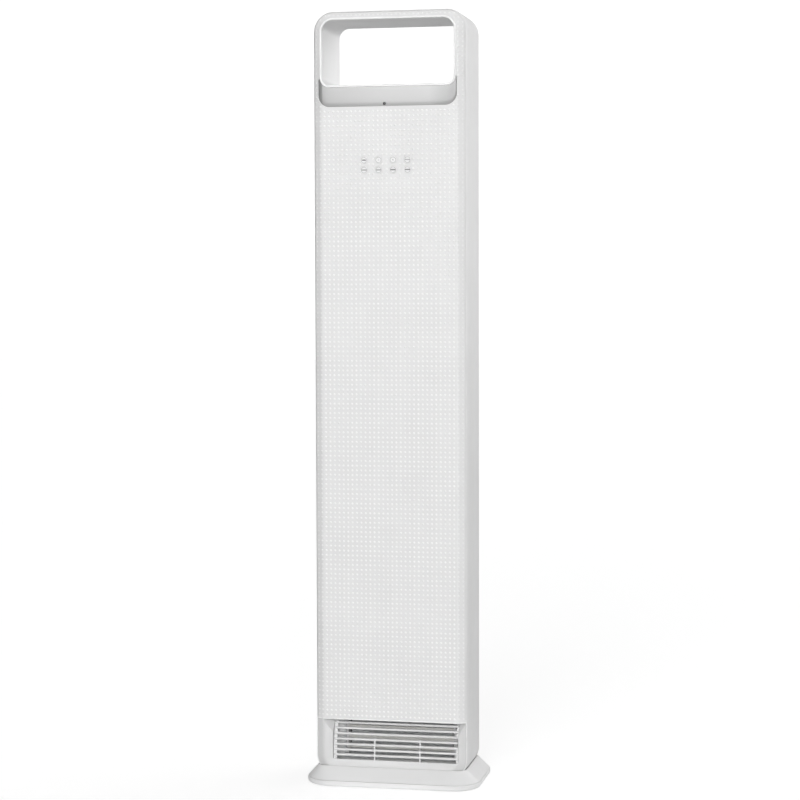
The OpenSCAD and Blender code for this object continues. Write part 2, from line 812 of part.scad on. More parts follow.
// Flared form from the rim up to the column, lowered by drop and drawn in by inset
module flare(inset, drop) {
    hull() {
        translate([0, 0, rim_top + groove - drop])
            linear_extrude(flare_edge) plinth_outline(-flare_edge - inset);
        translate([0, 0, seam_z - flare_edge - drop])
            linear_extrude(flare_edge) mouth_outline(1.6 - inset);
    }
}

module base_cover() color(white) difference() {
    union() {
        difference() {
            flare(0, 0);
            flare(1.6, shell_t - 0.2);
        }
        // Tub that the column's foot sits in
        intersection() {
            flare(0, 0);
            translate([0, 0, tub_z]) linear_extrude(seam_z - tub_z) mouth_outline(1.4);
        }
        for (p = base_screw_at)
            intersection() {
                flare(0.5, 0.5);
                translate([p[0], p[1], plate_z[1]]) cylinder(r = base_boss_r, h = 20);
            }
        for (p = base_screw_at)
            translate([p[0], p[1], plate_z[1]]) cylinder(r = base_boss_r, h = rim_top + 1 - plate_z[1]);
    }
    translate([0, 0, body_bottom - 0.05]) linear_extrude(seam_z) mouth_outline(0.2);
    for (p = base_screw_at)
        translate([p[0], p[1], plate_z[1] - over]) cylinder(r = screw_r + slip / 2, h = base_screw_len);
    for (p = column_screw_at)
        translate([p[0], p[1], 0]) cylinder(r = screw_hole_r, h = body_bottom + over);
}

module base_plate() color(white) difference() {
    translate([0, 0, plate_z[0]]) linear_extrude(rim_top - plate_z[0]) plinth_outline(0);
    translate([0, 0, plate_z[1]]) linear_extrude(rim_top) plinth_outline(-shell_t);
    for (p = foot_at)
        translate([p[0], p[1], 0]) cylinder(r = foot_peg_r + slip / 2, h = 5);
    for (p = base_screw_at) {
        translate([p[0], p[1], 0]) cylinder(r = screw_hole_r, h = 5);
        translate([p[0], p[1], 0]) cylinder(r = base_head_hole_r, h = plate_z[0] + 1);
    }
    translate([tip_x, tip_y, 0]) cylinder(r = tip_r + fit, h = 5);
}

module rubber_feet() color(dark)
    for (p = foot_at) {
        translate([p[0], p[1], 0]) cylinder(r = foot_r, h = plate_z[0]);
        translate([p[0], p[1], 0]) cylinder(r = foot_peg_r, h = plate_z[1]);
    }

module ballast_plate() color(steel)
    block([-60, -48, plate_z[1]], [60, 36, tub_z - 0.5]);

module tip_switch_housing() color(dark) difference() {
    block([tip_x - tip_half[0], tip_y - tip_half[1], plate_z[1]],
        [tip_x + tip_half[0], tip_y + tip_half[1], tip_top]);
    translate([tip_x, tip_y, plate_z[1] + tip_wall])
        cylinder(r = tip_bore_r, h = tip_top - 2 * tip_wall - plate_z[1]);
    translate([tip_x, tip_y, 0]) cylinder(r = tip_r + fit, h = plate_z[1] + tip_wall + 1);
}

module tip_switch_plunger() color(off_white) {
    translate([tip_x, tip_y, tip_tip_z]) cylinder(r = tip_r, h = tip_flange_z + tip_flange_t - tip_tip_z);
    translate([tip_x, tip_y, tip_flange_z]) cylinder(r = tip_flange_r, h = tip_flange_t);
}

// Light return spring, drawn as a stack of rings on a thin sleeve above the plunger's flange
module tip_spring() color(steel) {
    z0 = tip_flange_z + tip_flange_t;
    z1 = tip_top - tip_wall;
    for (i = [0 : spring_turns - 1])
        translate([tip_x, tip_y, z0 + spring_wire_r + i * (z1 - z0 - 2 * spring_wire_r) / (spring_turns - 1)])
            rotate_extrude() translate([spring_r, 0]) circle(spring_wire_r, $fn = 16);
    translate([tip_x, tip_y, z0]) difference() {
        cylinder(r = spring_r + 0.05, h = z1 - z0);
        translate([0, 0, -over]) cylinder(r = spring_r - 0.15, h = z1 - z0 + 2 * over);
    }
}

// ---------- Inlet and fasteners ----------

module cord_gland() color(dark) difference() {
    union() {
        rod_y(gland_x, gland_z, gland_r, inner_rear - gland_depth, rear_y);
        rod_y(gland_x, gland_z, gland_r + gland_flange, rear_y, rear_y + gland_flange);
    }
    rod_y(gland_x, gland_z, gland_bore_r, inner_rear - gland_depth - over, rear_y + gland_flange + over);
}

module casing_screws() color(steel)
    for (s = [-1, 1])
        for (z = tower_z) {
            rod_y(s * tower_x, z, screw_r, tower_y - screw_len + 1, tower_y + tower_floor);
            rod_y(s * tower_x, z, head_r, tower_y + tower_floor, tower_y + tower_floor + head_h);
        }

module column_screws() color(steel)
    for (p = column_screw_at) {
        translate([p[0], p[1], tub_z]) cylinder(r = screw_r, h = column_boss_h + 0.4);
        translate([p[0], p[1], tub_z - head_h]) cylinder(r = head_r, h = head_h);
    }

module base_screws() color(steel)
    for (p = base_screw_at) {
        translate([p[0], p[1], plate_z[0] + 1]) cylinder(r = screw_r, h = base_screw_len);
        translate([p[0], p[1], plate_z[0] + slip]) cylinder(r = base_head_r, h = 1 - slip);
    }

front_cover();
rear_casing();
handle_liner();
trim_strip();
sensor_window();
ir_receiver();
outlet_bezel();
outlet_grille();
base_cover();
base_plate();
rubber_feet();
ballast_plate();
filter_cover();
filter_mesh();
key(0);  // key_1
key(1);  // key_2
key(2);  // key_3
key(3);  // key_4
key(4);  // key_5
key(5);  // key_6
key(6);  // key_7
key(7);  // key_8
key_guide();
control_board();
tact_switches();
board_screws();
inner_chassis();
power_board();
power_components();
terminal_block();
wiring_loom();
air_duct();
fan_impeller();
motor_shaft();
fan_motor();
motor_bracket();
fan_bearing();
ptc_frame();
ptc_elements();
ptc_fins();
overheat_thermostat();
tip_switch_housing();
tip_switch_plunger();
tip_spring();
cord_gland();
casing_screws();
column_screws();
base_screws();
motor_screws();
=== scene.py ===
import math
import bmesh
import bpy
from mathutils import Matrix, Vector
from mathutils.geometry import delaunay_2d_cdt


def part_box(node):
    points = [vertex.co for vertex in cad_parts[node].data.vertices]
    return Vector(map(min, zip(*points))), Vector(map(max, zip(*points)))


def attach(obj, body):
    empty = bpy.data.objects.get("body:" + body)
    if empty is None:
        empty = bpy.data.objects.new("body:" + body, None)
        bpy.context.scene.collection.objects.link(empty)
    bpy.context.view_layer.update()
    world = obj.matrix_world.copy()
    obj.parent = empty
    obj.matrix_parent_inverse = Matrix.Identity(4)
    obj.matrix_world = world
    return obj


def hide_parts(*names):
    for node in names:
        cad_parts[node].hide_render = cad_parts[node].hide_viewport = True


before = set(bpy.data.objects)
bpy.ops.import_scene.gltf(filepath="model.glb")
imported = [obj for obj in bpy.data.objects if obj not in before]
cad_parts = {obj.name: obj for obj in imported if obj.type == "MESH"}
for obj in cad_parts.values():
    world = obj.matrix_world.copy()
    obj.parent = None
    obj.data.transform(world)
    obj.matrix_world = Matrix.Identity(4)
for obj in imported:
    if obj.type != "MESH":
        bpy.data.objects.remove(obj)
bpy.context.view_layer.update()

# Every size below is in millimetres in the CAD frame; MM turns it into metres when a mesh is made.
MM = 0.001


def cad(node):
    """Lowest and highest corner of a CAD node in millimetres."""
    lo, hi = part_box(node)
    return lo / MM, hi / MM


# ---------- Sizes taken from the frame ----------

COVER_LO = cad("front_cover")[0]
CASING_LO, CASING_HI = cad("rear_casing")
LINER_LO, LINER_HI = cad("handle_liner")
TRIM_LO, TRIM_HI = cad("trim_strip")
PLATE_LO, PLATE_HI = cad("base_plate")
FLARE_HI = cad("base_cover")[1]
FILTER_LO, FILTER_HI = cad("filter_cover")
GLAND_LO, GLAND_HI = cad("cord_gland")
LENS_LO, LENS_HI = cad("sensor_window")

FRONT_Y = COVER_LO.y
SPLIT_Y = CASING_LO.y
REAR_Y = CASING_HI.y
SIDE_X = CASING_HI.x
TOP_Z = CASING_HI.z
BOTTOM_Z = CASING_LO.z
COVER_Z = COVER_LO.z
GLAND_X = (GLAND_LO.x + GLAND_HI.x) / 2
GLAND_Z = (GLAND_LO.z + GLAND_HI.z) / 2

# ---------- Sizes the boxes do not give ----------

CORNER_R = 26.0
FRONT_R = 12.0
EDGE_START = 13.5
EDGE_EVEN = 8.0
# Insets of the mesh lines across the front's soft edge: the bend, then the even slope
BEND_STEPS = 5
SLOPE_INSETS = (5.0, 2.6)
REAR_R = 4.0
WALL = 2.2
PART_GAP = 0.3
EDGE_BAND = 0.3
MID_Z = (TOP_Z + BOTTOM_Z) / 2
HALF_Z = (TOP_Z - BOTTOM_Z) / 2
ROUND_STEPS = 16

HAND_MID_X = -1.5
HAND_X = 85.7
HAND_Z0 = 905.6
HAND_Z1 = 988.0
HAND_R0 = 10.0
HAND_R1 = 14.0
LIP = 3.0
LINER_T = 2.0

TRIM_CORNER = 15.0
TRIM_RECESS = 0.6
TRIM_CROWN = 0.24
# Places along the trim from its left end to its right end, and the tone there; the darker ends are painted
# shade
TRIM_SHADE_TONES = (
    (0.02, 0.35), (0.10, 0.395), (0.26, 0.425), (0.45, 0.445), (0.80, 0.445), (0.92, 0.36), (1.0, 0.26),
)
LINE_GAP = 0.12

KEY_MID_X = -4.0
KEY_PITCH_X = 18.9
KEY_PITCH_Z = 12.6
KEY_Z = 797.0
KEY_R = 4.55
KEY_GAP = 0.13
KEY_COLUMNS = 4
KEY_FLANGE_Y = -56.0
KEY_FLANGE_R = 5.5
KEY_STEM_R = 1.6
KEY_RING = (3.25, 3.75)
# Half width, half height and material of the plain bar on each key
KEY_BARS = (
    (2.6, 0.8, 1), (0.6, 0.5, 2), (0.7, 0.6, 1), (3.8, 0.8, 2),
    (3.9, 0.9, 2), (3.8, 0.9, 2), (3.6, 0.85, 1), (3.4, 0.8, 1),
)

DOT_PITCH_X = 5.8
DOT_PITCH_Z = 6.14
DOT_R = 1.6
DOT_H = 0.5
DOT_FIRST_Z = 92.0
DOT_COLUMNS = 34
DOT_WRAP = math.radians(58)

OUTLET_LEFT = -76.6
OUTLET_RIGHT = 89.0
OUTLET_Z0 = 34.0
SCOOP = 14.0
SCOOP_LEFT = 14.9
SCOOP_RIGHT = 15.2
SCOOP_H = 16.0
CHEEK_W = 6.0
SILL_T = 1.6
SUNK = 0.6
BLADES = 7
BLADE_T = 3.0
BLADE_D = 6.4
BLADE_PITCH = 6.75
BLADE_LIFT = 4.2
BLADE_END = 4.6
RIB_X = (-21.8, 38.2)
RIB_T = 1.8
RIB_TOP = 62.0

FIN_PITCH = 2.2
FIN_T = 0.25
FIN_ROWS = 4
FIN_BAR = 5.0

BASE_R = 37.0
MOUTH_X = 97.0
SEAM_Z = FLARE_HI.z
RIM_TOP = PLATE_HI.z
SHELL_T = 2.5
FLOOR_Z = 3.2
PLINTH_SCREW_X = 70.0
PLINTH_SCREW_Y = (-65.5, 60.0)
PLUNGER_X = -35.0
PLUNGER_Y = 50.0
PLUNGER_HOLE_R = 3.1

SKY_BASE = 0.48
SKY_FRONT = 9.0
SKY_RIGHT = 3.6
SKY_LEFT = -0.35
BACKDROP = 1.1
FLOOR_TONE = 0.47
FLOOR_SEEN = 0.66
FLOOR_GLOW = 0.42
GLOW_X = 0.155
GLOW_Y = 0.115

TOWERS = [(x, z) for x in (-86.0, 86.0) for z in (250.0, 540.0, 830.0)]
SCREW_HOLE_R = 3.7
SHANK_R = 1.7
WELL_FLOOR = -28.0
WELL_WALL = 1.6
TOWER_R = 4.0
TOWER_END = -30.0
PILOT_R = 1.3
PILOT_END = -44.0
GLAND_SEAT_R = 5.6

FILTER_CORNER = 3.0
FILTER_SLOTS = 18
SLOT_PITCH = 7.0
SLOT_H = 3.0

# ---------- Mesh helpers ----------


class Shape:
    """Points in millimetres, faces and their material numbers, collected for one piece."""

    def __init__(self):
        self.points = []
        self.faces = []
        self.mats = []

    def add(self, points, faces, mat=0):
        start = len(self.points)
        self.points += [tuple(p) for p in points]
        self.faces += [tuple(start + i for i in f) for f in faces]
        self.mats += [mat] * len(faces)

    def loft(self, rings, cap_start=True, cap_end=True, close=False, around=True, mat=0):
        """Skins rings of equally many points. close joins the last ring to the first one."""
        n = len(rings[0])
        faces = []
        pairs = len(rings) if close else len(rings) - 1
        for r in range(pairs):
            a = r * n
            b = ((r + 1) % len(rings)) * n
            for i in range(n if around else n - 1):
                j = (i + 1) % n
                faces.append((a + i, a + j, b + j, b + i))
        if cap_start and not close:
            faces.append(tuple(reversed(range(n))))
        if cap_end and not close:
            last = (len(rings) - 1) * n
            faces.append(tuple(last + i for i in range(n)))
        self.add([p for ring in rings for p in ring], faces, mat)

    def lathe_y(self, x, z, profile, segments=32, mat=0):
        """Turns (radius, y) points round the Y axis through x, z; radius 0 closes an end."""
        points = []
        rows = []
        for r, y in profile:
            if r < 1e-9:
                rows.append([len(points)])
                points.append((x, y, z))
                continue
            rows.append(list(range(len(points), len(points) + segments)))
            for k in range(segments):
                a = 2 * math.pi * k / segments
                points.append((x + r * math.cos(a), y, z + r * math.sin(a)))
        faces = []
        for low, high in zip(rows, rows[1:]):
            for k in range(segments):
                m = (k + 1) % segments
                ring = (low[k % len(low)], low[m % len(low)], high[m % len(high)], high[k % len(high)])
                faces.append(tuple(dict.fromkeys(ring)))
        self.add(points, faces, mat)

    def hull(self, corners, mat=0):
        """Convex solid round the corners."""
        bm = bmesh.new()
        for c in corners:
            bm.verts.new(c)
        made = bmesh.ops.convex_hull(bm, input=bm.verts)
        spare = [v for v in made["geom_interior"] if isinstance(v, bmesh.types.BMVert)]
        bmesh.ops.delete(bm, geom=spare, context="VERTS")
        bm.verts.index_update()
        self.add([tuple(v.co) for v in bm.verts], [[v.index for v in f.verts] for f in bm.faces], mat)
        bm.free()

    def block(self, a, b, mat=0):
        self.hull([(x, y, z) for x in (a[0], b[0]) for y in (a[1], b[1]) for z in (a[2], b[2])], mat)


def build(name, shape, materials, body="heater", stands_for=(), angle=32, solid=0.0, bevel=0.0,
          facing=None):
    """Makes the piece, closes and smooths it, and lets it ride on its body."""
    mesh = bpy.data.meshes.new(name)
    mesh.from_pydata([[c * MM for c in p] for p in shape.points], [], shape.faces)
    for m in materials:
        mesh.materials.append(m)
    mesh.polygons.foreach_set("material_index", shape.mats)
    bm = bmesh.new()
    bm.from_mesh(mesh)
    bmesh.ops.remove_doubles(bm, verts=bm.verts, dist=0.002 * MM)
    bmesh.ops.recalc_face_normals(bm, faces=bm.faces)
    if facing is not None:
        lean = sum((f.normal * f.calc_area() for f in bm.faces), Vector())
        if lean.dot(Vector(facing)) < 0:
            bmesh.ops.reverse_faces(bm, faces=bm.faces)
    bm.to_mesh(mesh)
    bm.free()
    obj = bpy.data.objects.new(name, mesh)
    bpy.context.scene.collection.objects.link(obj)
    if solid:
        wall = obj.modifiers.new("wall", "SOLIDIFY")
        wall.thickness = solid * MM
        wall.offset = -1
    if bevel:
        edge = obj.modifiers.new("edge", "BEVEL")
        edge.width = bevel * MM
        edge.segments = 3
        edge.limit_method = "ANGLE"
        edge.angle_limit = math.radians(40)
        edge.harden_normals = False
    mesh.shade_smooth()
    mesh.set_sharp_from_angle(angle=math.radians(angle))
    if not bevel:
        weigh = obj.modifiers.new("normals", "WEIGHTED_NORMAL")
        weigh.keep_sharp = True
    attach(obj, body)
    if stands_for:
        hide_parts(*stands_for)
    return obj


def rounded(x0, y0, x1, y1, radii, steps=12):
    """Counter-clockwise rounded rectangle; radii for corners x0y0, x1y0, x1y1, x0y1."""
    corners = (
        (x0 + radii[0], y0 + radii[0], radii[0], 180),
        (x1 - radii[1], y0 + radii[1], radii[1], 270),
        (x1 - radii[2], y1 - radii[2], radii[2], 0),
        (x0 + radii[3], y1 - radii[3], radii[3], 90),
    )
    points = []
    for cx, cy, r, start in corners:
        for k in range(steps + 1):
            a = math.radians(start + 90 * k / steps)
            points.append((cx + r * math.cos(a), cy + r * math.sin(a)))
    return points


def circle(x, y, r, steps=24):
    return [(x + r * math.cos(2 * math.pi * k / steps), y + r * math.sin(2 * math.pi * k / steps))
            for k in range(steps)]


def stadium(x0, y0, x1, y1, steps=6):
    """Slot with round ends, longer in x."""
    r = (y1 - y0) / 2
    cy = (y0 + y1) / 2
    turns = [math.pi * k / steps for k in range(steps + 1)]
    right = [(x1 - r + r * math.sin(t), cy - r * math.cos(t)) for t in turns]
    left = [(x0 + r - r * math.sin(t), cy + r * math.cos(t)) for t in turns]
    return right + left


def ring_round(centre, a, b, r, segments):
    """Circle of radius r round a centre, in the plane of the directions a and b."""
    turns = [2 * math.pi * k / segments for k in range(segments)]
    return [tuple(centre + a * r * math.cos(t) + b * r * math.sin(t)) for t in turns]


def level(loop, z):
    """The flat loop lifted to a height."""
    return [(x, y, z) for x, y in loop]


def between(a, b, f):
    """The loop a fraction f of the way from one loop to another."""
    return [(p[0] + (q[0] - p[0]) * f, p[1] + (q[1] - p[1]) * f) for p, q in zip(a, b)]


def closed(loop):
    """The loop with its first point repeated at the end."""
    return [*loop, loop[0]]


def inside(p, loop):
    """True if the point lies in the closed loop."""
    x, y = p
    hit = False
    for (ax, ay), (bx, by) in zip(loop, loop[1:] + loop[:1]):
        if (ay > y) != (by > y) and x < (bx - ax) * (y - ay) / (by - ay) + ax:
            hit = not hit
    return hit


def triangulate(outer, holes, lines=()):
    """Triangles that fill outer but not the holes, with the lines as extra edges."""
    points = []
    edges = []
    for loop in [outer, *holes]:
        start = len(points)
        points += [Vector(p) for p in loop]
        edges += [(start + i, start + (i + 1) % len(loop)) for i in range(len(loop))]
    for line in lines:
        start = len(points)
        points += [Vector(p) for p in line]
        edges += [(start + i, start + i + 1) for i in range(len(line) - 1)]
    made = delaunay_2d_cdt(points, edges, [], 0, 1e-4)
    kept = []
    for tri in made[2]:
        mid = sum((made[0][i] for i in tri), Vector((0, 0))) / 3
        if inside(mid, outer) and not any(inside(mid, h) for h in holes):
            kept.append(tuple(tri))
    return [tuple(p) for p in made[0]], kept


# ---------- Form of the column ----------


def outline_inset(x, z):
    """How far a point of the front view lies inside the column's outline."""
    qx = abs(x) - (SIDE_X - CORNER_R)
    qz = abs(z - MID_Z) - (HALF_Z - CORNER_R)
    return CORNER_R - math.hypot(max(qx, 0), max(qz, 0)) - min(max(qx, qz), 0)


def arc_drop(distance, radius):
    """Depth of a quarter round at a distance from its outer edge."""
    if distance >= radius:
        return 0.0
    return radius - math.sqrt(max(radius ** 2 - (radius - max(distance, 0)) ** 2, 0))


def edge_drop(inset):
    """Depth of the front's soft edge, which curves into an even slope and meets the casing at the seam."""
    bend = EDGE_START - EDGE_EVEN
    slope = (SPLIT_Y - FRONT_Y) / (bend / 2 + EDGE_EVEN - inset_at(SPLIT_Y - FRONT_Y))
    if inset >= EDGE_START:
        return 0.0
    if inset >= EDGE_EVEN:
        return slope * (EDGE_START - inset) ** 2 / (2 * bend)
    return slope * (bend / 2 + EDGE_EVEN - inset)


def front_surface(x, z):
    """Y of the column's front at a point of the front view."""
    return FRONT_Y + edge_drop(outline_inset(x, z))


def inset_at(depth):
    """Inset at which the CAD's round front edge has the given depth."""
    return FRONT_R - math.sqrt(FRONT_R ** 2 - (FRONT_R - depth) ** 2)


def seam_inset():
    """Inset of the front shells' edge at the seam with the casing."""
    return inset_at(SPLIT_Y - FRONT_Y - PART_GAP / 2)


def column_ring(inset, y):
    """Ring round the column, inset from its outline."""
    radii = (CORNER_R - inset,) * 4
    loop = rounded(-SIDE_X + inset, BOTTOM_Z + inset, SIDE_X - inset, TOP_Z - inset, radii, ROUND_STEPS)
    return [(x, y, z) for x, z in loop]


def arch(inset, z_low):
    """The column's outline above z_low, from lower right over the top to lower left."""
    r = CORNER_R - inset
    loop = rounded(-SIDE_X + inset, BOTTOM_Z, SIDE_X - inset, TOP_Z - inset, (0, 0, r, r), ROUND_STEPS)
    upper = loop[2 * (ROUND_STEPS + 1):]
    return [(SIDE_X - inset, z_low), *upper, (-SIDE_X + inset, z_low)]


def foot_arch(inset, z_high, steps=12):
    """The column's outline below z_high, from upper left round the foot to upper right."""
    r = CORNER_R - inset
    loop = rounded(-SIDE_X + inset, BOTTOM_Z + inset, SIDE_X - inset, TOP_Z, (r, r, 0, 0), steps)
    lower = loop[:2 * (steps + 1)]
    return [(-SIDE_X + inset, z_high), *lower, (SIDE_X - inset, z_high)]


FILLET_INSETS = [EDGE_EVEN + (EDGE_START - EDGE_EVEN) * k / BEND_STEPS for k in range(BEND_STEPS, -1, -1)]
FILLET_INSETS += SLOPE_INSETS


def lower_half(loop):
    """The two lower corners of a rounded loop made with ROUND_STEPS."""
    return loop[:2 * (ROUND_STEPS + 1)]


def hand_loop(grow):
    """Outline of the hand opening."""
    return rounded(HAND_MID_X - HAND_X - grow, HAND_Z0 - grow, HAND_MID_X + HAND_X + grow, HAND_Z1 + grow,
                   (HAND_R0 + grow, HAND_R0 + grow, HAND_R1 + grow, HAND_R1 + grow), ROUND_STEPS)


def trim_outer(grow):
    """The trim's outer edge from its left tip down and round to its right tip."""
    r = TRIM_CORNER + grow
    over = TRIM_HI.z + r
    loop = rounded(TRIM_LO.x - grow, TRIM_LO.z - grow, TRIM_HI.x + grow, over, (r, r, 0, 0), ROUND_STEPS)
    lower = lower_half(loop)
    left = (TRIM_LO.x - grow, TRIM_HI.z + grow)
    right = (TRIM_HI.x + grow, TRIM_HI.z + grow)
    return [left, *lower, right]


def front_opening(grow=LINE_GAP):
    """Hole in the front cover: the hand opening with the trim below it."""
    loop = hand_loop(LIP + grow)
    first = ROUND_STEPS + 1
    upper = [p for p in loop[first:] + loop[:first] if p[1] > TRIM_HI.z + grow]
    return trim_outer(grow) + upper


def key_places():
    """Middles of the keys, upper row first, from the left."""
    for row in (1, 0):
        for column in range(KEY_COLUMNS):
            x = KEY_MID_X + (column - (KEY_COLUMNS - 1) / 2) * KEY_PITCH_X
            yield x, KEY_Z + row * KEY_PITCH_Z


# ---------- Materials ----------


def new_material(name):
    """A material with its node tree, its shader and the object's own coordinates."""
    m = bpy.data.materials.new(name)
    m.use_nodes = True
    tree = m.node_tree
    coords = tree.nodes.new("ShaderNodeTexCoord").outputs["Object"]
    return m, tree, tree.nodes["Principled BSDF"], coords


def add_node(tree, kind, inputs, **settings):
    """New shader node. Each input is another node's output, which is linked, or a plain value."""
    node = tree.nodes.new(kind)
    for key, value in settings.items():
        setattr(node, key, value)
    for socket, value in inputs.items():
        if isinstance(value, bpy.types.NodeSocket):
            tree.links.new(value, node.inputs[socket])
        else:
            node.inputs[socket].default_value = value
    return node


def chain(tree, operation, source, value):
    """One arithmetic step between an output and a number or a second output."""
    return add_node(tree, "ShaderNodeMath", {0: source, 1: value}, operation=operation).outputs["Value"]


def camera_mix(tree, others, camera):
    """One value for the camera's own rays and another for all other light."""
    seen = tree.nodes.new("ShaderNodeLightPath").outputs["Is Camera Ray"]
    inputs = {"Factor": seen, "A": others, "B": camera}
    return add_node(tree, "ShaderNodeMix", inputs, data_type="FLOAT").outputs["Result"]


def noise(tree, scale, detail, seed, coords):
    """Noise in object space; seed moves it so that no two materials share a pattern."""
    place = (seed, seed * 0.7, seed * 1.3)
    shift = add_node(tree, "ShaderNodeMapping", {"Vector": coords, "Location": place})
    inputs = {"Vector": shift.outputs["Vector"], "Scale": scale, "Detail": detail}
    return add_node(tree, "ShaderNodeTexNoise", inputs).outputs["Fac"]


# The part of a pattern's 0..1 range that holds most of its values
PATTERN_LOW = 0.35
PATTERN_HIGH = 0.65


def spread(tree, source, low, high, target):
    """Maps a pattern to a range and drives a socket with it."""
    inputs = {"Value": source, "From Min": PATTERN_LOW, "From Max": PATTERN_HIGH}
    inputs |= {"To Min": low, "To Max": high}
    span = add_node(tree, "ShaderNodeMapRange", inputs)
    tree.links.new(span.outputs["Result"], target)


def two_tone(tree, source, dark, light, target):
    """Blends two near colours by a pattern."""
    ramp = add_node(tree, "ShaderNodeValToRGB", {"Fac": source})
    ramp.color_ramp.elements[0].position = PATTERN_LOW
    ramp.color_ramp.elements[1].position = PATTERN_HIGH
    ramp.color_ramp.elements[0].color = (*dark, 1)
    ramp.color_ramp.elements[1].color = (*light, 1)
    tree.links.new(ramp.outputs["Color"], target)


def clouded(tree, shader, colour, cloud, pattern):
    """Base colour with faint lighter and darker clouds."""
    dark = [max(c - cloud, 0) for c in colour]
    light = [c + cloud for c in colour]
    two_tone(tree, pattern, dark, light, shader.inputs["Base Color"])


def relief(tree, shader, source, strength, depth):
    """Bump of the given depth in metres."""
    bump = add_node(tree, "ShaderNodeBump", {"Height": source, "Strength": strength, "Distance": depth})
    tree.links.new(bump.outputs["Normal"], shader.inputs["Normal"])


def grey(tone):
    return (tone, tone, tone)


def moulded(name, colour, rough, seed, grain=0.35, cloud=0.012, gloss=0.5):
    """Moulded plastic: fine spark-eroded grain, faint clouds in colour and roughness."""
    m, tree, shader, coords = new_material(name)
    clouded(tree, shader, colour, cloud, noise(tree, 14, 3, seed, coords))
    patches = noise(tree, 60, 4, seed + 3, coords)
    spread(tree, patches, rough - 0.05, rough + 0.05, shader.inputs["Roughness"])
    fine = noise(tree, 1700, 4, seed + 5, coords)
    relief(tree, shader, fine, grain, 0.00004)
    shader.inputs["Specular IOR Level"].default_value = gloss
    return m


def metal(name, colour, rough, seed, brush=(1, 1, 1), scale=900, metallic=1.0):
    """Metal or metallic paint; brush stretches the grain along one axis."""
    m, tree, shader, coords = new_material(name)
    stretch = add_node(tree, "ShaderNodeMapping", {"Vector": coords, "Scale": brush})
    grain = noise(tree, scale, 5, seed, stretch.outputs["Vector"])
    clouded(tree, shader, colour, 0.03, noise(tree, 25, 3, seed + 2, coords))
    spread(tree, grain, rough - 0.06, rough + 0.06, shader.inputs["Roughness"])
    relief(tree, shader, grain, 0.3, 0.00002)
    shader.inputs["Metallic"].default_value = metallic
    return m


def shaded_satin_band(name, seed):
    """Satin silver paint with a fine metallic flake, darkened towards both ends of the band as painted shade.
    """
    m, tree, shader, coords = new_material(name)
    half = 0.095
    # The tone ramp along X darkens both ends of the band: painted shade
    parts = add_node(tree, "ShaderNodeSeparateXYZ", {"Vector": coords})
    inputs = {"Value": parts.outputs["X"], "From Min": -half, "From Max": half}
    place = add_node(tree, "ShaderNodeMapRange", inputs).outputs["Result"]
    flake = noise(tree, 2600, 2, seed, coords)
    nudge = add_node(tree, "ShaderNodeMath", {0: flake, 1: 0.05, 2: place}, operation="MULTIPLY_ADD")
    ramp = add_node(tree, "ShaderNodeValToRGB", {"Fac": nudge.outputs["Value"]})
    while len(ramp.color_ramp.elements) < len(TRIM_SHADE_TONES):
        ramp.color_ramp.elements.new(0.5)
    for element, (at, tone) in zip(ramp.color_ramp.elements, TRIM_SHADE_TONES):
        element.position = at
        element.color = (*grey(tone), 1)
    tree.links.new(ramp.outputs["Color"], shader.inputs["Base Color"])
    spread(tree, flake, 0.32, 0.42, shader.inputs["Roughness"])
    relief(tree, shader, flake, 0.15, 0.00001)
    shader.inputs["Metallic"].default_value = 0.45
    return m


def net(name, colour, pitch):
    """Fine woven net: two crossed waves raise the threads."""
    m, tree, shader, coords = new_material(name)
    inputs = {"Vector": coords, "Scale": 0.314 / pitch}
    waves = [add_node(tree, "ShaderNodeTexWave", inputs, bands_direction=along).outputs["Fac"]
             for along in ("X", "Z")]
    threads = chain(tree, "MAXIMUM", waves[0], waves[1])
    two_tone(tree, threads, [c * 0.25 for c in colour], colour, shader.inputs["Base Color"])
    relief(tree, shader, threads, 0.8, 0.0003)
    shader.inputs["Roughness"].default_value = 0.7
    return m


def board(name, seed):
    """Circuit board: green solder mask with faint tracks."""
    m, tree, shader, coords = new_material(name)
    cells = add_node(tree, "ShaderNodeTexVoronoi", {"Vector": coords, "Scale": 180}, distance="CHEBYCHEV")
    tracks = cells.outputs["Distance"]
    two_tone(tree, tracks, (0.02, 0.16, 0.06), (0.03, 0.24, 0.09), shader.inputs["Base Color"])
    relief(tree, shader, tracks, 0.3, 0.0001)
    patches = noise(tree, 90, 3, seed, coords)
    spread(tree, patches, 0.25, 0.4, shader.inputs["Roughness"])
    return m


def lens_glass(name, seed):
    """Smoked acrylic that looks black until light strikes it."""
    m, tree, shader, coords = new_material(name)
    haze = noise(tree, 500, 3, seed, coords)
    two_tone(tree, haze, (0.008, 0.008, 0.01), (0.016, 0.016, 0.02), shader.inputs["Base Color"])
    spread(tree, haze, 0.06, 0.14, shader.inputs["Roughness"])
    shader.inputs["Coat Weight"].default_value = 0.5
    return m


WHITE = moulded("front_plastic", grey(0.735), 0.42, 1.0)
BEZEL = moulded("bezel_plastic", grey(0.66), 0.42, 10.0)
# Whiter than the cover: painted highlight on the dots and on the beads along the cover's lower edge and the
# casing's front edge
HIGHLIGHT_WHITE = moulded("painted_highlight_white", grey(0.86), 0.3, 4.0, grain=0.15, cloud=0.008)
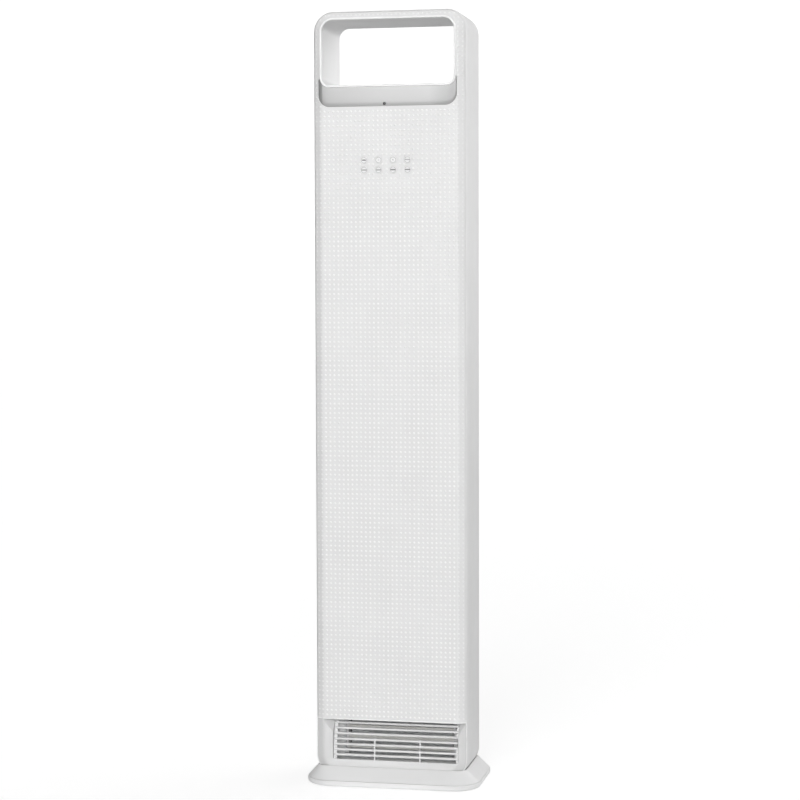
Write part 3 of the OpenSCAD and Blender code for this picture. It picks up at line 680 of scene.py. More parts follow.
# A dimmer copy for the dots on the rounded edges and the top bar: a weaker painted highlight where the
# surface turns away
DIMMER_HIGHLIGHT = moulded("dimmer_painted_highlight", grey(0.80), 0.35, 5.0, grain=0.15, cloud=0.008)
CASING = moulded("casing_plastic", grey(0.745), 0.45, 7.0)
LINER = moulded("liner_plastic", grey(0.87), 0.36, 13.0, grain=0.2)
BASE = moulded("base_plastic", grey(0.70), 0.42, 19.0)
RIM = moulded("rim_plastic", grey(0.73), 0.42, 22.0)
LOUVRE = moulded("louvre_plastic", grey(0.70), 0.4, 25.0)
KEYCAP = moulded("key_plastic", grey(0.80), 0.38, 31.0, grain=0.2)
INNER = moulded("inner_plastic", grey(0.74), 0.5, 37.0)
DARK = moulded("dark_plastic", grey(0.035), 0.45, 43.0, cloud=0.006)
PRINT = moulded("key_print", grey(0.22), 0.55, 49.0, grain=0.1, cloud=0.01)
RING = moulded("key_ring", grey(0.42), 0.55, 52.0, grain=0.1, cloud=0.01)
SLEEVE = moulded("wire_sleeve", grey(0.05), 0.35, 55.0, cloud=0.01)
RUBBER = moulded("rubber", grey(0.03), 0.8, 61.0, grain=0.7, cloud=0.006, gloss=0.3)
CERAMIC = moulded("ptc_ceramic", (0.74, 0.73, 0.70), 0.75, 67.0, grain=0.6, cloud=0.03)
# Silver band paint with painted shade towards both ends
SHADED_SILVER = shaded_satin_band("silver_trim", 71.0)
SHEET = metal("sheet_steel", (0.66, 0.67, 0.68), 0.45, 73.0, brush=(1, 1, 0.15), metallic=0.7)
SCREWS = metal("screw_steel", (0.48, 0.48, 0.47), 0.35, 79.0)
MOTOR = metal("motor_steel", (0.5, 0.5, 0.5), 0.4, 83.0, brush=(0.15, 1, 1))
BRONZE = metal("bearing_bronze", (0.55, 0.36, 0.15), 0.4, 89.0, scale=2500)
FINS = metal("fin_aluminium", (0.88, 0.89, 0.90), 0.55, 97.0, brush=(1, 0.1, 1), metallic=0.2)
BOARD = board("circuit_board", 101.0)
NET = net("filter_net", (0.09, 0.09, 0.1), 0.0016)
GLASS = lens_glass("dark_lens", 107.0)

NODE_MATERIALS = {
    "ir_receiver": DARK, "rubber_feet": RUBBER, "ballast_plate": SHEET, "filter_mesh": NET,
    "key_guide": INNER, "control_board": BOARD, "tact_switches": DARK, "board_screws": SCREWS,
    "inner_chassis": SHEET, "power_board": BOARD, "power_components": DARK, "terminal_block": INNER,
    "wiring_loom": SLEEVE, "air_duct": SHEET, "fan_impeller": DARK, "motor_shaft": MOTOR,
    "fan_motor": MOTOR, "motor_bracket": SHEET, "fan_bearing": BRONZE, "ptc_frame": INNER,
    "ptc_elements": CERAMIC, "overheat_thermostat": DARK, "tip_switch_housing": DARK,
    "tip_switch_plunger": INNER, "tip_spring": SCREWS, "casing_screws": SCREWS,
    "column_screws": SCREWS, "base_screws": SCREWS, "motor_screws": SCREWS,
}


def finish_nodes():
    """Gives the CAD nodes that stay in view their procedural materials."""
    for node, material in NODE_MATERIALS.items():
        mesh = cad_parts[node].data
        mesh.materials.clear()
        mesh.materials.append(material)


# ---------- Column ----------


def make_front_cover():
    """Front shell with its soft edges and its openings."""
    edge_r = 1.0
    side_inset = seam_inset()
    outer = arch(side_inset, COVER_Z)
    holes = [front_opening()]
    lines = [arch(t, COVER_Z) for t in FILLET_INSETS if t > side_inset]
    for rise in (0.13, 0.5, edge_r):
        lines.append([(side_inset - SIDE_X, COVER_Z + rise), (SIDE_X - side_inset, COVER_Z + rise)])
    for x, z in key_places():
        holes.append(circle(x, z, KEY_R + KEY_GAP, 32))
        lines.append(closed(circle(x, z, KEY_R + KEY_GAP + EDGE_BAND, 32)))
    lines.append(closed(front_opening(LINE_GAP + EDGE_BAND)))
    points, faces = triangulate(outer, holes, lines)
    shape = Shape()
    shape.add([(x, front_surface(x, z) + arc_drop(z - COVER_Z, edge_r), z) for x, z in points], faces)
    return build("front_cover_shell", shape, [WHITE], stands_for=["front_cover"],
                 solid=WALL, facing=(0, -1, 0))


def make_front_inside():
    """Outlet roof and screw towers on the inside of the front cover."""
    shape = Shape()
    flat = SIDE_X - FRONT_R
    wing = flat + 7
    front = FRONT_Y + 1.2
    back = FRONT_Y + 16
    plan = [(-flat, front), (flat, front), (wing, FRONT_Y + 4), (wing, back), (-flat, back)]
    shape.loft([[(x, y, z) for x, y in plan] for z in (COVER_Z + 0.05, COVER_Z + 2)])
    tower = [(0, FRONT_Y + 1), (TOWER_R, FRONT_Y + 1), (TOWER_R, TOWER_END), (PILOT_R, TOWER_END),
             (PILOT_R, PILOT_END), (0, PILOT_END)]
    for x, z in TOWERS:
        shape.lathe_y(x, z, tower, 24)
    return build("front_cover_inside", shape, [WHITE], angle=40)


def dot_columns():
    """Sideways places of the dots, going on round the front edges at the same spacing."""
    flat = SIDE_X - FRONT_R
    for k in range(DOT_COLUMNS):
        u = (k - (DOT_COLUMNS - 1) / 2) * DOT_PITCH_X
        if abs(u) <= flat:
            yield u
        elif abs(u) < flat + FRONT_R * DOT_WRAP:
            yield math.copysign(flat + FRONT_R * math.sin((abs(u) - flat) / FRONT_R), u)


def dot_rows():
    """Heights of the dots, going on round the top edge."""
    flat = TOP_Z - FRONT_R
    k = 0
    while True:
        w = DOT_FIRST_Z + k * DOT_PITCH_Z
        k += 1
        if w <= flat:
            yield w
            continue
        turn = (w - flat) / FRONT_R
        if turn > DOT_WRAP:
            return
        yield flat + FRONT_R * math.sin(turn)


def dot_free(x, z, keys, opening):
    """True where a dot has room on the cover."""
    room = DOT_R + 0.35
    if outline_inset(x, z) < inset_at(SPLIT_Y - FRONT_Y) + room * 0.6:
        return False
    if any(math.hypot(x - kx, z - kz) < KEY_R + KEY_GAP + room for kx, kz in keys):
        return False
    if z < TRIM_LO.z - 8:
        return True
    probes = circle(x, z, room, 8)
    return not any(inside(p, opening) for p in probes)


def surface_frame(x, z):
    """Point of the front surface with its outward normal and two tangents."""
    step = 0.02
    sx = (front_surface(x + step, z) - front_surface(x - step, z)) / (2 * step)
    sz = (front_surface(x, z + step) - front_surface(x, z - step)) / (2 * step)
    normal = Vector((sx, -1, sz)).normalized()
    across = Vector((1, sx, 0)).normalized()
    return Vector((x, front_surface(x, z), z)), normal, across, normal.cross(across)


def make_cover_lip():
    """Smooth bead along the cover's lower edge, over the outlet."""
    shape = Shape()
    r = 0.9
    sunk = 0.35
    side_inset = seam_inset()
    reach = SIDE_X - side_inset - 0.3
    steps = 40
    rings = []
    for k in range(steps + 1):
        x = -reach + 2 * reach * k / steps
        z = COVER_Z + r
        at, normal, _, up = surface_frame(x, z)
        rings.append(ring_round(at - normal * (r - sunk), normal, up, r, 12))
    shape.loft(rings)
    # The bead takes the lighter white as a painted highlight along the cover's lower edge
    return build("front_cover_lip", shape, [HIGHLIGHT_WHITE], angle=60)


def make_dots():
    """The small raised dots of the front cover, as low closed domes."""
    shape = Shape()
    keys = list(key_places())
    opening = front_opening()
    flat = SIDE_X - EDGE_START
    segments = 8
    levels = ((1.0, -0.25), (0.76, 0.5), (0.42, 0.86))
    turns = circle(0, 0, 1, segments)
    faces = []
    for level in range(len(levels) - 1):
        for k in range(segments):
            m = (k + 1) % segments
            a = level * segments
            b = a + segments
            faces.append((a + k, a + m, b + m, b + k))
    top = (len(levels) - 1) * segments
    apex = len(levels) * segments
    faces += [(top + k, top + (k + 1) % segments, apex) for k in range(segments)]
    faces.append(tuple(reversed(range(segments))))
    rows = list(dot_rows())
    for x in dot_columns():
        for z in rows:
            if not dot_free(x, z, keys, opening):
                continue
            at, normal, across, up = surface_frame(x, z)
            points = [at + (across * c + up * s) * DOT_R * r + normal * DOT_H * h
                      for r, h in levels for c, s in turns]
            points.append(at + normal * DOT_H)
            # Dots on the rounded side edges and the top bar take the dimmer painted highlight
            shape.add(points, faces, 1 if abs(x) > flat or z > HAND_Z1 else 0)
    return build("front_cover_dots", shape, [HIGHLIGHT_WHITE, DIMMER_HIGHLIGHT], angle=60)


def make_casing():
    """Sides, top and rear of the column with its rear openings."""
    shape = Shape()
    split = inset_at(SPLIT_Y - FRONT_Y)
    rings = [column_ring(split + 0.75, SPLIT_Y + PART_GAP / 2), column_ring(split + 0.2, SPLIT_Y + 0.25)]
    for depth in (6.6, 8, 10, FRONT_R):
        rings.append(column_ring(inset_at(depth), FRONT_Y + depth))
    for a in range(0, 91, 15):
        t = math.radians(a)
        rings.append(column_ring(REAR_R * (1 - math.cos(t)), REAR_Y - REAR_R * (1 - math.sin(t))))
    shape.loft(rings, cap_start=False, cap_end=False)
    outer = [(x, z) for x, _, z in rings[-1]]
    holes = [hand_loop(LINER_T + 0.1)]
    holes.append(rounded(FILTER_LO.x - PART_GAP, FILTER_LO.z - PART_GAP, FILTER_HI.x + PART_GAP,
                         FILTER_HI.z + PART_GAP, (FILTER_CORNER,) * 4, 6))
    holes += [circle(x, z, SCREW_HOLE_R, 32) for x, z in TOWERS]
    holes.append(circle(GLAND_X, GLAND_Z, GLAND_SEAT_R, 32))
    points, faces = triangulate(outer, holes)
    shape.add([(x, REAR_Y, z) for x, z in points], faces)
    return build("rear_casing_shell", shape, [CASING], stands_for=["rear_casing"],
                 solid=WALL)


def make_casing_rim():
    """Fine bead on the casing's front edge beside the bezel and round the column's foot."""
    shape = Shape()
    r = 0.55
    depth = SPLIT_Y - FRONT_Y + 0.35
    inset = inset_at(depth)
    path = foot_arch(inset, COVER_Z)
    rings = []
    for k, (x, z) in enumerate(path):
        before = path[max(k - 1, 0)]
        after = path[min(k + 1, len(path) - 1)]
        along = Vector((after[0] - before[0], 0, after[1] - before[1])).normalized()
        out = Vector((-along.z, 0, along.x))
        rings.append(ring_round(Vector((x, FRONT_Y + depth, z)), out, Vector((0, 1, 0)), r, 8))
    shape.loft(rings)
    # The bead takes the lighter white as a painted highlight on the casing's front edge
    return build("rear_casing_rim", shape, [HIGHLIGHT_WHITE], angle=60)


def make_screw_wells():
    """Deep wells in the rear casing down to the casing screws."""
    shape = Shape()
    wall_r = SCREW_HOLE_R + WELL_WALL
    under = WELL_FLOOR - 2
    well = [(SHANK_R, WELL_FLOOR), (SCREW_HOLE_R, WELL_FLOOR), (SCREW_HOLE_R, REAR_Y - 1),
            (wall_r, REAR_Y - 1), (wall_r, under), (SHANK_R, under), (SHANK_R, WELL_FLOOR)]
    for x, z in TOWERS:
        shape.lathe_y(x, z, well, 32)
    return build("rear_casing_wells", shape, [CASING], angle=40)


def make_liner():
    """Tube through the handle, with a rounded lip at the front and a flat one at the rear."""
    front = LINER_LO.y
    rear = LINER_HI.y
    bead = [(3.0, 1.2), (2.98, 0.8), (2.8, 0.4), (2.45, 0.12), (1.9, 0.0), (1.3, 0.03), (0.75, 0.25),
            (0.35, 0.65), (0.1, 1.2), (0.0, 2.0)]
    profile = [(g, front + d) for g, d in bead]
    profile += [(0.0, rear - 0.7), (0.15, rear - 0.25), (0.5, rear), (2.4, rear), (2.85, rear - 0.15),
                (LIP, rear - 0.5), (LIP, REAR_Y + 0.02), (LINER_T, REAR_Y + 0.02), (LINER_T, front + 3.2),
                (LIP, front + 3.2)]
    shape = Shape()
    rings = [[(x, y, z) for x, z in hand_loop(g)] for g, y in profile]
    shape.loft(rings, close=True)
    return build("handle_liner_tube", shape, [LINER], stands_for=["handle_liner"])


def trim_inner():
    """The trim's inner edge along the liner's lip, from the left tip to the right tip."""
    loop = hand_loop(LIP + 0.03)
    lower = lower_half(loop)
    return [(lower[0][0], TRIM_HI.z), *lower, (lower[-1][0], TRIM_HI.z)]


def make_trim():
    """Silver band under the hand opening, gently crowned, with its two rising tips."""
    shape = Shape()
    rise = LINER_LO.y + 0.3 - FRONT_Y
    back = TRIM_HI.y
    low = trim_outer(0)
    high = trim_inner()
    rings = []
    steps = 8
    for a, b in zip(low, high):
        ring = []
        for k in range(steps + 1):
            f = k / steps
            x = a[0] + (b[0] - a[0]) * f
            z = a[1] + (b[1] - a[1]) * f
            edge = 0.35 if k == 0 else 0.0
            crown = TRIM_CROWN * math.sin(math.pi * f) * 0.5
            depth = TRIM_RECESS + (rise - TRIM_RECESS) * f + edge - crown
            ring.append((x, front_surface(x, z) + depth, z))
        ring.append((b[0], back, b[1]))
        ring.append((a[0], back, a[1]))
        rings.append(ring)
    shape.loft(rings)
    return build("silver_trim_band", shape, [SHADED_SILVER], stands_for=["trim_strip"], angle=40)


def make_lens():
    """Domed dark lens of the receiver."""
    shape = Shape()
    x = (LENS_LO.x + LENS_HI.x) / 2
    z = (LENS_LO.z + LENS_HI.z) / 2
    r = (LENS_HI.x - LENS_LO.x) / 2
    face = LENS_LO.y - 0.35
    shape.lathe_y(x, z, [(0, face), (r * 0.45, face + 0.06), (r * 0.8, face + 0.22), (r, face + 0.55),
                         (r, LENS_HI.y), (0, LENS_HI.y)], 32)
    return build("sensor_lens", shape, [GLASS], stands_for=["sensor_window"])


def ring_mark(shape, x, z, r0, r1, y0, y1, mat, segments=40):
    """Thin printed ring."""
    shape.lathe_y(x, z, [(r0, y1), (r0, y0), (r1, y0), (r1, y1), (r0, y1)], segments, mat)


def bar_mark(shape, x, z, half, thick, y0, y1, mat):
    """Thin printed bar with round ends."""
    loop = stadium(x - half, z - thick, x + half, z + thick)
    shape.loft([[(a, y1, b) for a, b in loop], [(a, y0, b) for a, b in loop]], mat=mat)


def make_keys():
    """Eight round keys with a dished face, a printed ring and a plain bar."""
    for number, (x, z) in enumerate(key_places(), 1):
        node = f"key_{number}"
        lo, hi = cad(node)
        face = lo.y
        flange_end = KEY_FLANGE_Y + 1
        shape = Shape()
        shape.lathe_y(x, z, [
            (0, face + 0.18), (2.6, face + 0.14), (3.7, face + 0.02), (4.15, face), (4.4, face + 0.12),
            (KEY_R, face + 0.4), (KEY_R, KEY_FLANGE_Y), (KEY_FLANGE_R, KEY_FLANGE_Y),
            (KEY_FLANGE_R, flange_end), (KEY_STEM_R, flange_end), (KEY_STEM_R, hi.y), (0, hi.y)], 40)
        ring_mark(shape, x, z, *KEY_RING, face - 0.03, face + 0.3, 2)
        half, thick, tone = KEY_BARS[number - 1]
        bar_mark(shape, x, z, half, thick, face + 0.04, face + 0.3, tone)
        build(f"{node}_cap", shape, [KEYCAP, PRINT, RING], body=node, stands_for=[node],
              angle=40)


# ---------- Outlet ----------


def grille_y(z):
    """Front edge of the grille, drawn back under the cover."""
    return FRONT_Y + 0.8 + (SCOOP - 2) * ((z - OUTLET_Z0) / (COVER_Z - OUTLET_Z0)) ** 2


def notch_side(x, tip_x, top):
    """One side of the outlet's notch in the front view, from the tip down to the round lower corner."""
    side = 1 if tip_x > x else -1
    low = top - SCOOP_H
    corner = 2
    edge = []
    steps = 8
    for k in range(steps + 1):
        z = top - SCOOP_H * k / steps
        edge.append((recess_edge(x, tip_x, z, low, top), z))
    for k in range(5):
        a = math.radians(90 * k / 4)
        edge.append((x - side * corner * (1 - math.cos(a)), OUTLET_Z0 + corner * (1 - math.sin(a))))
    return edge


def recess_edge(x, tip_x, z, low, top):
    """Where the slanted recess meets the front surface at height z."""
    f = (z - low) / (top - low)
    if f <= 0:
        return x
    near = 0.0
    far = 1.0
    for _ in range(30):
        mid = (near + far) / 2
        px = x + (tip_x - x) * f * mid
        deep = SCOOP * f * (1 - mid)
        if deep > front_surface(px, z) - FRONT_Y:
            near = mid
        else:
            far = mid
    return x + (tip_x - x) * f * near


def make_bezel():
    """Plain lower front with the slanted corners of the outlet's recess."""
    top = COVER_Z - 0.2
    side_inset = seam_inset()
    foot = foot_arch(side_inset, top)
    right = notch_side(OUTLET_RIGHT, OUTLET_RIGHT + SCOOP_RIGHT, top)
    left = notch_side(OUTLET_LEFT, OUTLET_LEFT - SCOOP_LEFT, top)
    outer = foot + right + left[::-1]
    lines = [foot_arch(t, top) for t in FILLET_INSETS if t > side_inset]
    points, faces = triangulate(outer, [], lines)
    shape = Shape()
    shape.add([(x, front_surface(x, z), z) for x, z in points], faces)
    return build("outlet_bezel_face", shape, [BEZEL], stands_for=["outlet_bezel"],
                 solid=WALL, facing=(0, -1, 0))


def make_bezel_recess():
    """Side walls, slanted corners and sill behind the bezel's face."""
    shape = Shape()
    top = COVER_Z - 0.25
    low = top - SCOOP_H
    back = FRONT_Y + SCOOP + 2
    for x, wide in ((OUTLET_LEFT, -SCOOP_LEFT), (OUTLET_RIGHT, SCOOP_RIGHT)):
        tip_x = recess_edge(x, x + wide, top, low, top)
        rim = []
        for k in range(7):
            z = low + SCOOP_H * k / 6
            edge_x = recess_edge(x, x + wide, z, low, top)
            rim.append((edge_x, front_surface(edge_x, z), z))
        mid_x = x + wide * 0.5
        shape.hull([
            (x, front_surface(x, low) + 0.02, low), (x, back, low), (x, FRONT_Y + SCOOP, top), (x, back, top),
            *rim, (tip_x, back, top), (tip_x, back, low),
            (mid_x, front_surface(mid_x, low) + WALL, low)])
        far_x = x + math.copysign(CHEEK_W, wide)
        shape.hull([(at, y, z) for z in (OUTLET_Z0 - SILL_T, low) for at in (x, far_x)
                    for y in (front_surface(at, low) + SUNK, back)])
    shape.block((OUTLET_LEFT, FRONT_Y + SUNK, OUTLET_Z0 - SILL_T), (OUTLET_RIGHT, back, OUTLET_Z0))
    return build("outlet_bezel_recess", shape, [BEZEL], angle=25)


def make_outlet_guide():
    """Side walls that lead from the duct's ends to the outlet's frame."""
    shape = Shape()
    duct_lo, duct_hi = cad("air_duct")
    frame_back = FRONT_Y + SCOOP + 2.1
    for edge_x, duct_x in ((OUTLET_LEFT, duct_lo.x), (OUTLET_RIGHT, duct_hi.x)):
        side = math.copysign(1.2, edge_x)
        plan = [(edge_x, frame_back), (edge_x + side, frame_back), (duct_x + side, duct_lo.y - 0.3),
                (duct_x, duct_lo.y - 0.3)]
        shape.loft([[(x, y, z) for x, y in plan] for z in (OUTLET_Z0 - 1.4, COVER_Z - 0.4)])
    return build("outlet_bezel_guide", shape, [INNER], angle=30)


def blade_section(z, thick):
    """Cross-section of one louvre blade, round at the front."""
    r = thick / 2
    y = grille_y(z)
    mid = z + BLADE_T / 2
    front = BLADE_T / 2
    loop = [(y + front - front * math.cos(math.radians(a)), mid + r * math.sin(math.radians(a)))
            for a in range(-90, 91, 15)]
    return loop + [(y + BLADE_D, mid + r * 0.75), (y + BLADE_D, mid - r * 0.75)]


def upright_plate(shape, x0, x1, z0, z1, inset):
    """Upright plate whose front follows the blades."""
    steps = 12
    zs = [z0 + (z1 - z0) * k / steps for k in range(steps + 1)]
    for a, b in zip(zs, zs[1:]):
        ya = grille_y(a) + inset
        yb = grille_y(b) + inset
        shape.hull([(x, y, z) for x in (x0, x1)
                    for y, z in ((ya, a), (ya + BLADE_D - 1, a), (yb, b), (yb + BLADE_D - 1, b))])


def make_grille():
    """Louvre blades with round front edges and round ends, two ribs and the end plates."""
    shape = Shape()
    left = OUTLET_LEFT + 0.3
    right = OUTLET_RIGHT - 0.3
    r = BLADE_T / 2
    turns = [math.radians(a) for a in (10, 35, 60, 90)]
    taper = [(r * (1 - math.cos(t)), BLADE_T * math.sin(t)) for t in turns]
    for k in range(BLADES):
        z = OUTLET_Z0 + BLADE_LIFT + k * BLADE_PITCH
        stations = [(left + d, t) for d, t in taper] + [(right - d, t) for d, t in reversed(taper)]
        shape.loft([[(x, y, h) for y, h in blade_section(z, t)] for x, t in stations])
    floor = OUTLET_Z0 + 0.1
    roof = COVER_Z - 0.4
    upright_plate(shape, OUTLET_LEFT + 0.1, OUTLET_LEFT + BLADE_END, floor, roof, 1.6)
    upright_plate(shape, OUTLET_RIGHT - BLADE_END + 1, OUTLET_RIGHT - 0.1, floor, roof, 1.6)
    for x in RIB_X:
        upright_plate(shape, x - RIB_T / 2, x + RIB_T / 2, floor, RIB_TOP, 1.0)
    return build("outlet_grille_blades", shape, [LOUVRE], stands_for=["outlet_grille"])


def make_fins():
    """Finely folded aluminium ribbons between the ceramic bars, as thin closed strips."""
    shape = Shape()
    lo, hi = cad("ptc_fins")
    height = (hi.z - lo.z - (FIN_ROWS - 1) * FIN_BAR) / FIN_ROWS
    half = FIN_T / 2
    folds = round((hi.x - lo.x - FIN_T) / (FIN_PITCH / 2))
    step = (hi.x - lo.x - FIN_T) / folds
    for row in range(FIN_ROWS):
        base = lo.z + row * (height + FIN_BAR) + 0.05
        rings = []
        for k in range(folds + 1):
            x = lo.x + half + k * step
            z = base + (height - 0.1) * (k % 2)
            rings.append([(x - half, lo.y, z), (x + half, lo.y, z), (x + half, hi.y, z), (x - half, hi.y, z)])
        shape.loft(rings)
    return build("ptc_fin_ribbons", shape, [FINS], stands_for=["ptc_fins"], angle=20)


# ---------- Plinth ----------


def plinth_loop(grow):
    """The plinth's outline seen from above."""
    radii = (BASE_R + grow,) * 4
    return rounded(PLATE_LO.x - grow, PLATE_LO.y - grow, PLATE_HI.x + grow, PLATE_HI.y + grow, radii, 20)


def mouth_loop(grow):
    """The socket's outline for the column seen from above."""
    front = FRONT_R + grow
    rear = REAR_R + grow
    radii = (front, front, rear, rear)
    return rounded(-MOUTH_X - grow, FRONT_Y - grow, MOUTH_X + grow, REAR_Y + grow, radii, 20)


def make_base_cover():
    """Flared upper part of the plinth with the socket for the column."""
    z0 = RIM_TOP + 0.15
    rim = plinth_loop(-0.45)
    lip = mouth_loop(1.6)
    rise = SEAM_Z - z0
    rings = [level(plinth_loop(-3.2), z0), level(plinth_loop(-1.0), z0), level(plinth_loop(-0.55), z0 + 0.18)]
    for f in (0.035, 0.2, 0.4, 0.6, 0.8, 0.93):
        rings.append(level(between(rim, lip, f), z0 + rise * f))
    for grow, depth in ((1.7, 0.35), (1.15, 0.06), (0.75, 0), (0.35, 0.15), (0.2, 0.6)):
        rings.append(level(mouth_loop(grow), SEAM_Z - depth))
    rings.append(level(mouth_loop(0.2), BOTTOM_Z - 0.05))
    shape = Shape()
    shape.loft(rings, cap_start=False, cap_end=True)
    under = [level(plinth_loop(-3.2), z0)]
    for f in (0.3, 0.6, 0.85):
        under.append(level(between(plinth_loop(-3.4), mouth_loop(-1.0), f), z0 + (rise - 2.6) * f))
    under.append(level(mouth_loop(1.4), BOTTOM_Z - 2.5 + 0.01))
    shape.loft(under, cap_start=False, cap_end=True)
    return build("base_cover_flare", shape, [BASE], stands_for=["base_cover"], angle=50)


def make_base_plate():
    """Underside plate with a rounded rim, drilled for its screws and the tip-over plunger."""
    z0 = PLATE_LO.z
    shape = Shape()
    profile = ((-2.4, z0), (-1.5, z0 + 0.2), (-0.7, z0 + 0.75), (-0.2, z0 + 1.6), (0, z0 + 2.6),
               (0, RIM_TOP - 0.7), (-0.2, RIM_TOP - 0.2), (-0.7, RIM_TOP),
               (-SHELL_T, RIM_TOP), (-SHELL_T, z0))
    shape.loft([level(plinth_loop(grow), z) for grow, z in profile], close=True)
    outer = plinth_loop(-SHELL_T + 0.1)
    holes = [circle(s * PLINTH_SCREW_X, y, SHANK_R, 20) for y in PLINTH_SCREW_Y for s in (-1, 1)]
    holes.append(circle(PLUNGER_X, PLUNGER_Y, PLUNGER_HOLE_R, 24))
    points, faces = triangulate(outer, holes)
    slab = Shape()
    slab.add(level(points, FLOOR_Z), faces)
    build("base_plate_floor", slab, [BASE], solid=FLOOR_Z - z0, facing=(0, 0, 1))
    return build("base_plate_rim", shape, [RIM], stands_for=["base_plate"])


# ---------- Rear fittings ----------


def make_filter_cover():
    """Slotted intake cover with round slot ends."""
    shape = Shape()
    outer = rounded(FILTER_LO.x, FILTER_LO.z, FILTER_HI.x, FILTER_HI.z, (FILTER_CORNER,) * 4, 6)
    holes = []
    for x0, x1 in ((FILTER_LO.x + 7, -4), (4, FILTER_HI.x - 7)):
        for k in range(FILTER_SLOTS):
            z = FILTER_LO.z + 8 + k * SLOT_PITCH
            holes.append(stadium(x0, z, x1, z + SLOT_H))
    points, faces = triangulate(outer, holes)
    shape.add([(x, FILTER_HI.y - 0.05, z) for x, z in points], faces)
    return build("filter_cover_grille", shape, [CASING], body="filter",
                 stands_for=["filter_cover"], solid=WALL, facing=(0, 1, 0))


def make_filter_clips():
    """Spring clips that hold the filter cover."""
    shape = Shape()
    for s in (-1, 1):
        for z in (FILTER_LO.z + 20, FILTER_HI.z - 30):
            x = s * (FILTER_HI.x - 2)
            shape.block((x - 1.5, FILTER_LO.y, z), (x + 1.5, FILTER_LO.y + 4, z + 10))
    return build("filter_cover_clips", shape, [CASING], body="filter", bevel=0.3)


def make_gland():
    """Rubber cord gland with a rolled edge."""
    bore = 3.6
    flange = 7.5
    neck = 5.5
    rear = GLAND_HI.y
    shape = Shape()
    shape.lathe_y(GLAND_X, GLAND_Z, [
        (bore, GLAND_LO.y), (bore, rear - 0.5), (bore + 0.5, rear), (flange - 0.9, rear),
        (flange - 0.2, rear - 0.3), (flange, rear - 0.9), (flange, REAR_Y + 0.02), (neck, REAR_Y + 0.02),
        (neck, GLAND_LO.y), (bore, GLAND_LO.y)], 40)
    return build("cord_gland_ring", shape, [RUBBER], stands_for=["cord_gland"], angle=50)


# ---------- Stage ----------


def floor_paint():
    """Pale floor: seen as near white, with a soft shadow, while it throws only a modest light back up; round
    the plinth it also glows for all rays but the camera's, a painted pool of light under the base.
    """
    m, tree, shader, coords = new_material("floor_paint")
    squash = (1 / GLOW_X, 1 / GLOW_Y, 0)
    near = add_node(tree, "ShaderNodeVectorMath", {0: coords, 1: squash}, operation="MULTIPLY")
    reach = add_node(tree, "ShaderNodeVectorMath", {0: near.outputs["Vector"]}, operation="LENGTH")
    inputs = {"Value": reach.outputs["Value"], "From Min": 0.6, "From Max": 1.2}
    inputs |= {"To Min": FLOOR_GLOW, "To Max": 0.0}
    glow = add_node(tree, "ShaderNodeMapRange", inputs, interpolation_type="SMOOTHSTEP")
    power = camera_mix(tree, glow.outputs["Result"], FLOOR_SEEN)
    tree.links.new(power, shader.inputs["Emission Strength"])
    shader.inputs["Emission Color"].default_value = (1, 1, 1, 1)
    grain = noise(tree, 40, 3, 3.0, coords)
    two_tone(tree, grain, grey(FLOOR_TONE - 0.01), grey(FLOOR_TONE + 0.01), shader.inputs["Base Color"])
    shader.inputs["Roughness"].default_value = 0.9
    shader.inputs["Specular IOR Level"].default_value = 0.1
    return m


def make_stage():
    """Plain pale floor."""
    mesh = bpy.data.meshes.new("floor")
    half = 14.0
    corners = [(-half, -half, 0), (half, -half, 0), (half, half, 0), (-half, half, 0)]
    mesh.from_pydata(corners, [], [(0, 1, 2, 3)])
    floor = bpy.data.objects.new("floor", mesh)
    bpy.context.scene.collection.objects.link(floor)
    mesh.materials.append(floor_paint())


def lobe(tree, direction, towards, gain, power):
    """Soft patch of sky that is brightest in one direction."""
    inputs = {0: direction, 1: Vector(towards).normalized()}
    dot = add_node(tree, "ShaderNodeVectorMath", inputs, operation="DOT_PRODUCT")
    clipped = chain(tree, "MAXIMUM", dot.outputs["Value"], 0.0)
    return chain(tree, "MULTIPLY", chain(tree, "POWER", clipped, power), gain)


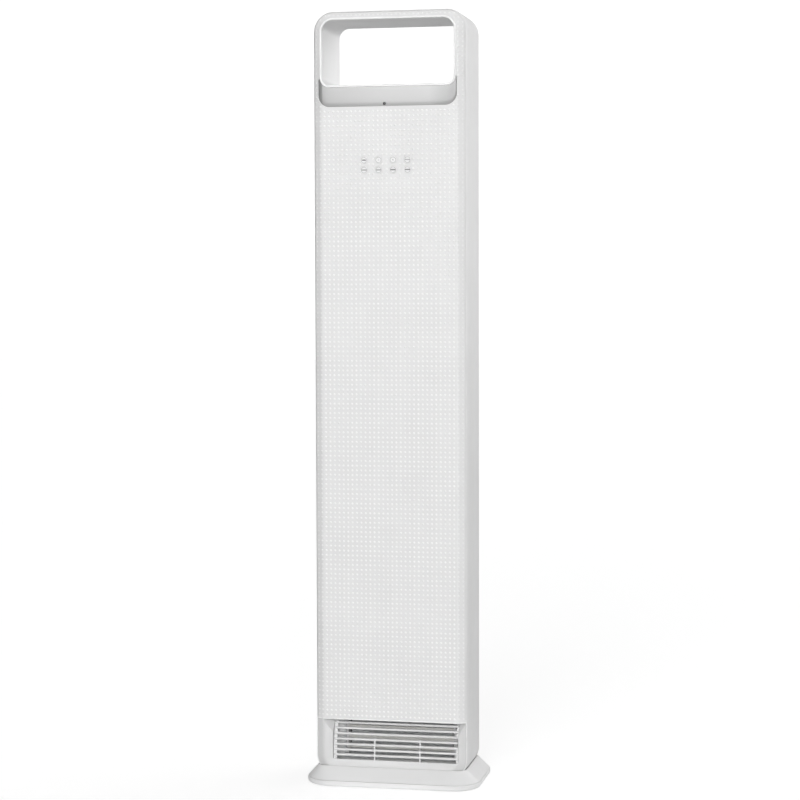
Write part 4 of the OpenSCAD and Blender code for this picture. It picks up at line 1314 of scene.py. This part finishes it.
def make_world():
    """Soft tent of light, brightest from the front, and white where the camera looks past the object."""
    world = bpy.data.worlds.new("studio")
    bpy.context.scene.world = world
    world.use_nodes = True
    tree = world.node_tree
    back = tree.nodes["Background"]
    direction = tree.nodes.new("ShaderNodeTexCoord").outputs["Generated"]
    front = lobe(tree, direction, (0.03, -0.95, 0.25), SKY_FRONT, 24.0)
    right = lobe(tree, direction, (0.80, 0.59, 0.02), SKY_RIGHT, 8.0)
    flag = lobe(tree, direction, (-0.95, -0.3, 0.0), SKY_LEFT, 2.0)
    soft = chain(tree, "ADD", chain(tree, "ADD", front, right), SKY_BASE)
    light = chain(tree, "MAXIMUM", chain(tree, "ADD", soft, flag), 0.0)
    tree.links.new(camera_mix(tree, light, BACKDROP), back.inputs["Strength"])
    back.inputs["Color"].default_value = (1, 1, 1, 1)


def make_lamp(name, place, target, size, power):
    """Rectangular lamp aimed at a point."""
    light = bpy.data.lights.new(name, "AREA")
    light.shape = "RECTANGLE"
    light.size = size[0]
    light.size_y = size[1]
    light.energy = power
    lamp = bpy.data.objects.new(name, light)
    bpy.context.scene.collection.objects.link(lamp)
    lamp.location = place
    lamp.rotation_euler = (Vector(target) - Vector(place)).to_track_quat("-Z", "Y").to_euler()
    return lamp


def make_camera():
    """Camera at the photograph's viewing angle."""
    place = Vector((0.5826, -2.7981, 0.6620))
    turn = math.radians(11.73)
    pitch = math.radians(3.255)
    roll = math.radians(-0.165)
    back = Vector((math.sin(turn) * math.cos(pitch), -math.cos(turn) * math.cos(pitch), math.sin(pitch)))
    right = Vector((math.cos(turn), math.sin(turn), 0))
    up = back.cross(right)
    side = right * math.cos(roll) + up * math.sin(roll)
    head = up * math.cos(roll) - right * math.sin(roll)
    data = bpy.data.cameras.new("camera")
    data.lens = 98.36
    data.sensor_width = 36.0
    data.clip_end = 100
    camera = bpy.data.objects.new("camera", data)
    bpy.context.scene.collection.objects.link(camera)
    camera.matrix_world = Matrix.Translation(place) @ Matrix((side, head, back)).transposed().to_4x4()
    bpy.context.scene.camera = camera


def set_view():
    view = bpy.context.scene.view_settings
    view.view_transform = "Standard"
    view.look = "None"


finish_nodes()
make_front_cover()
make_front_inside()
make_cover_lip()
make_dots()
make_casing()
make_casing_rim()
make_screw_wells()
make_liner()
make_trim()
make_lens()
make_keys()
make_bezel()
make_bezel_recess()
make_outlet_guide()
make_grille()
make_fins()
make_base_cover()
make_base_plate()
make_filter_cover()
make_filter_clips()
make_gland()
make_stage()
make_world()
make_lamp("key_light", place=(-0.2, -2.6, 2.6), target=(0, 0, 0.55), size=(1.2, 1.2), power=3)
make_camera()
set_view()
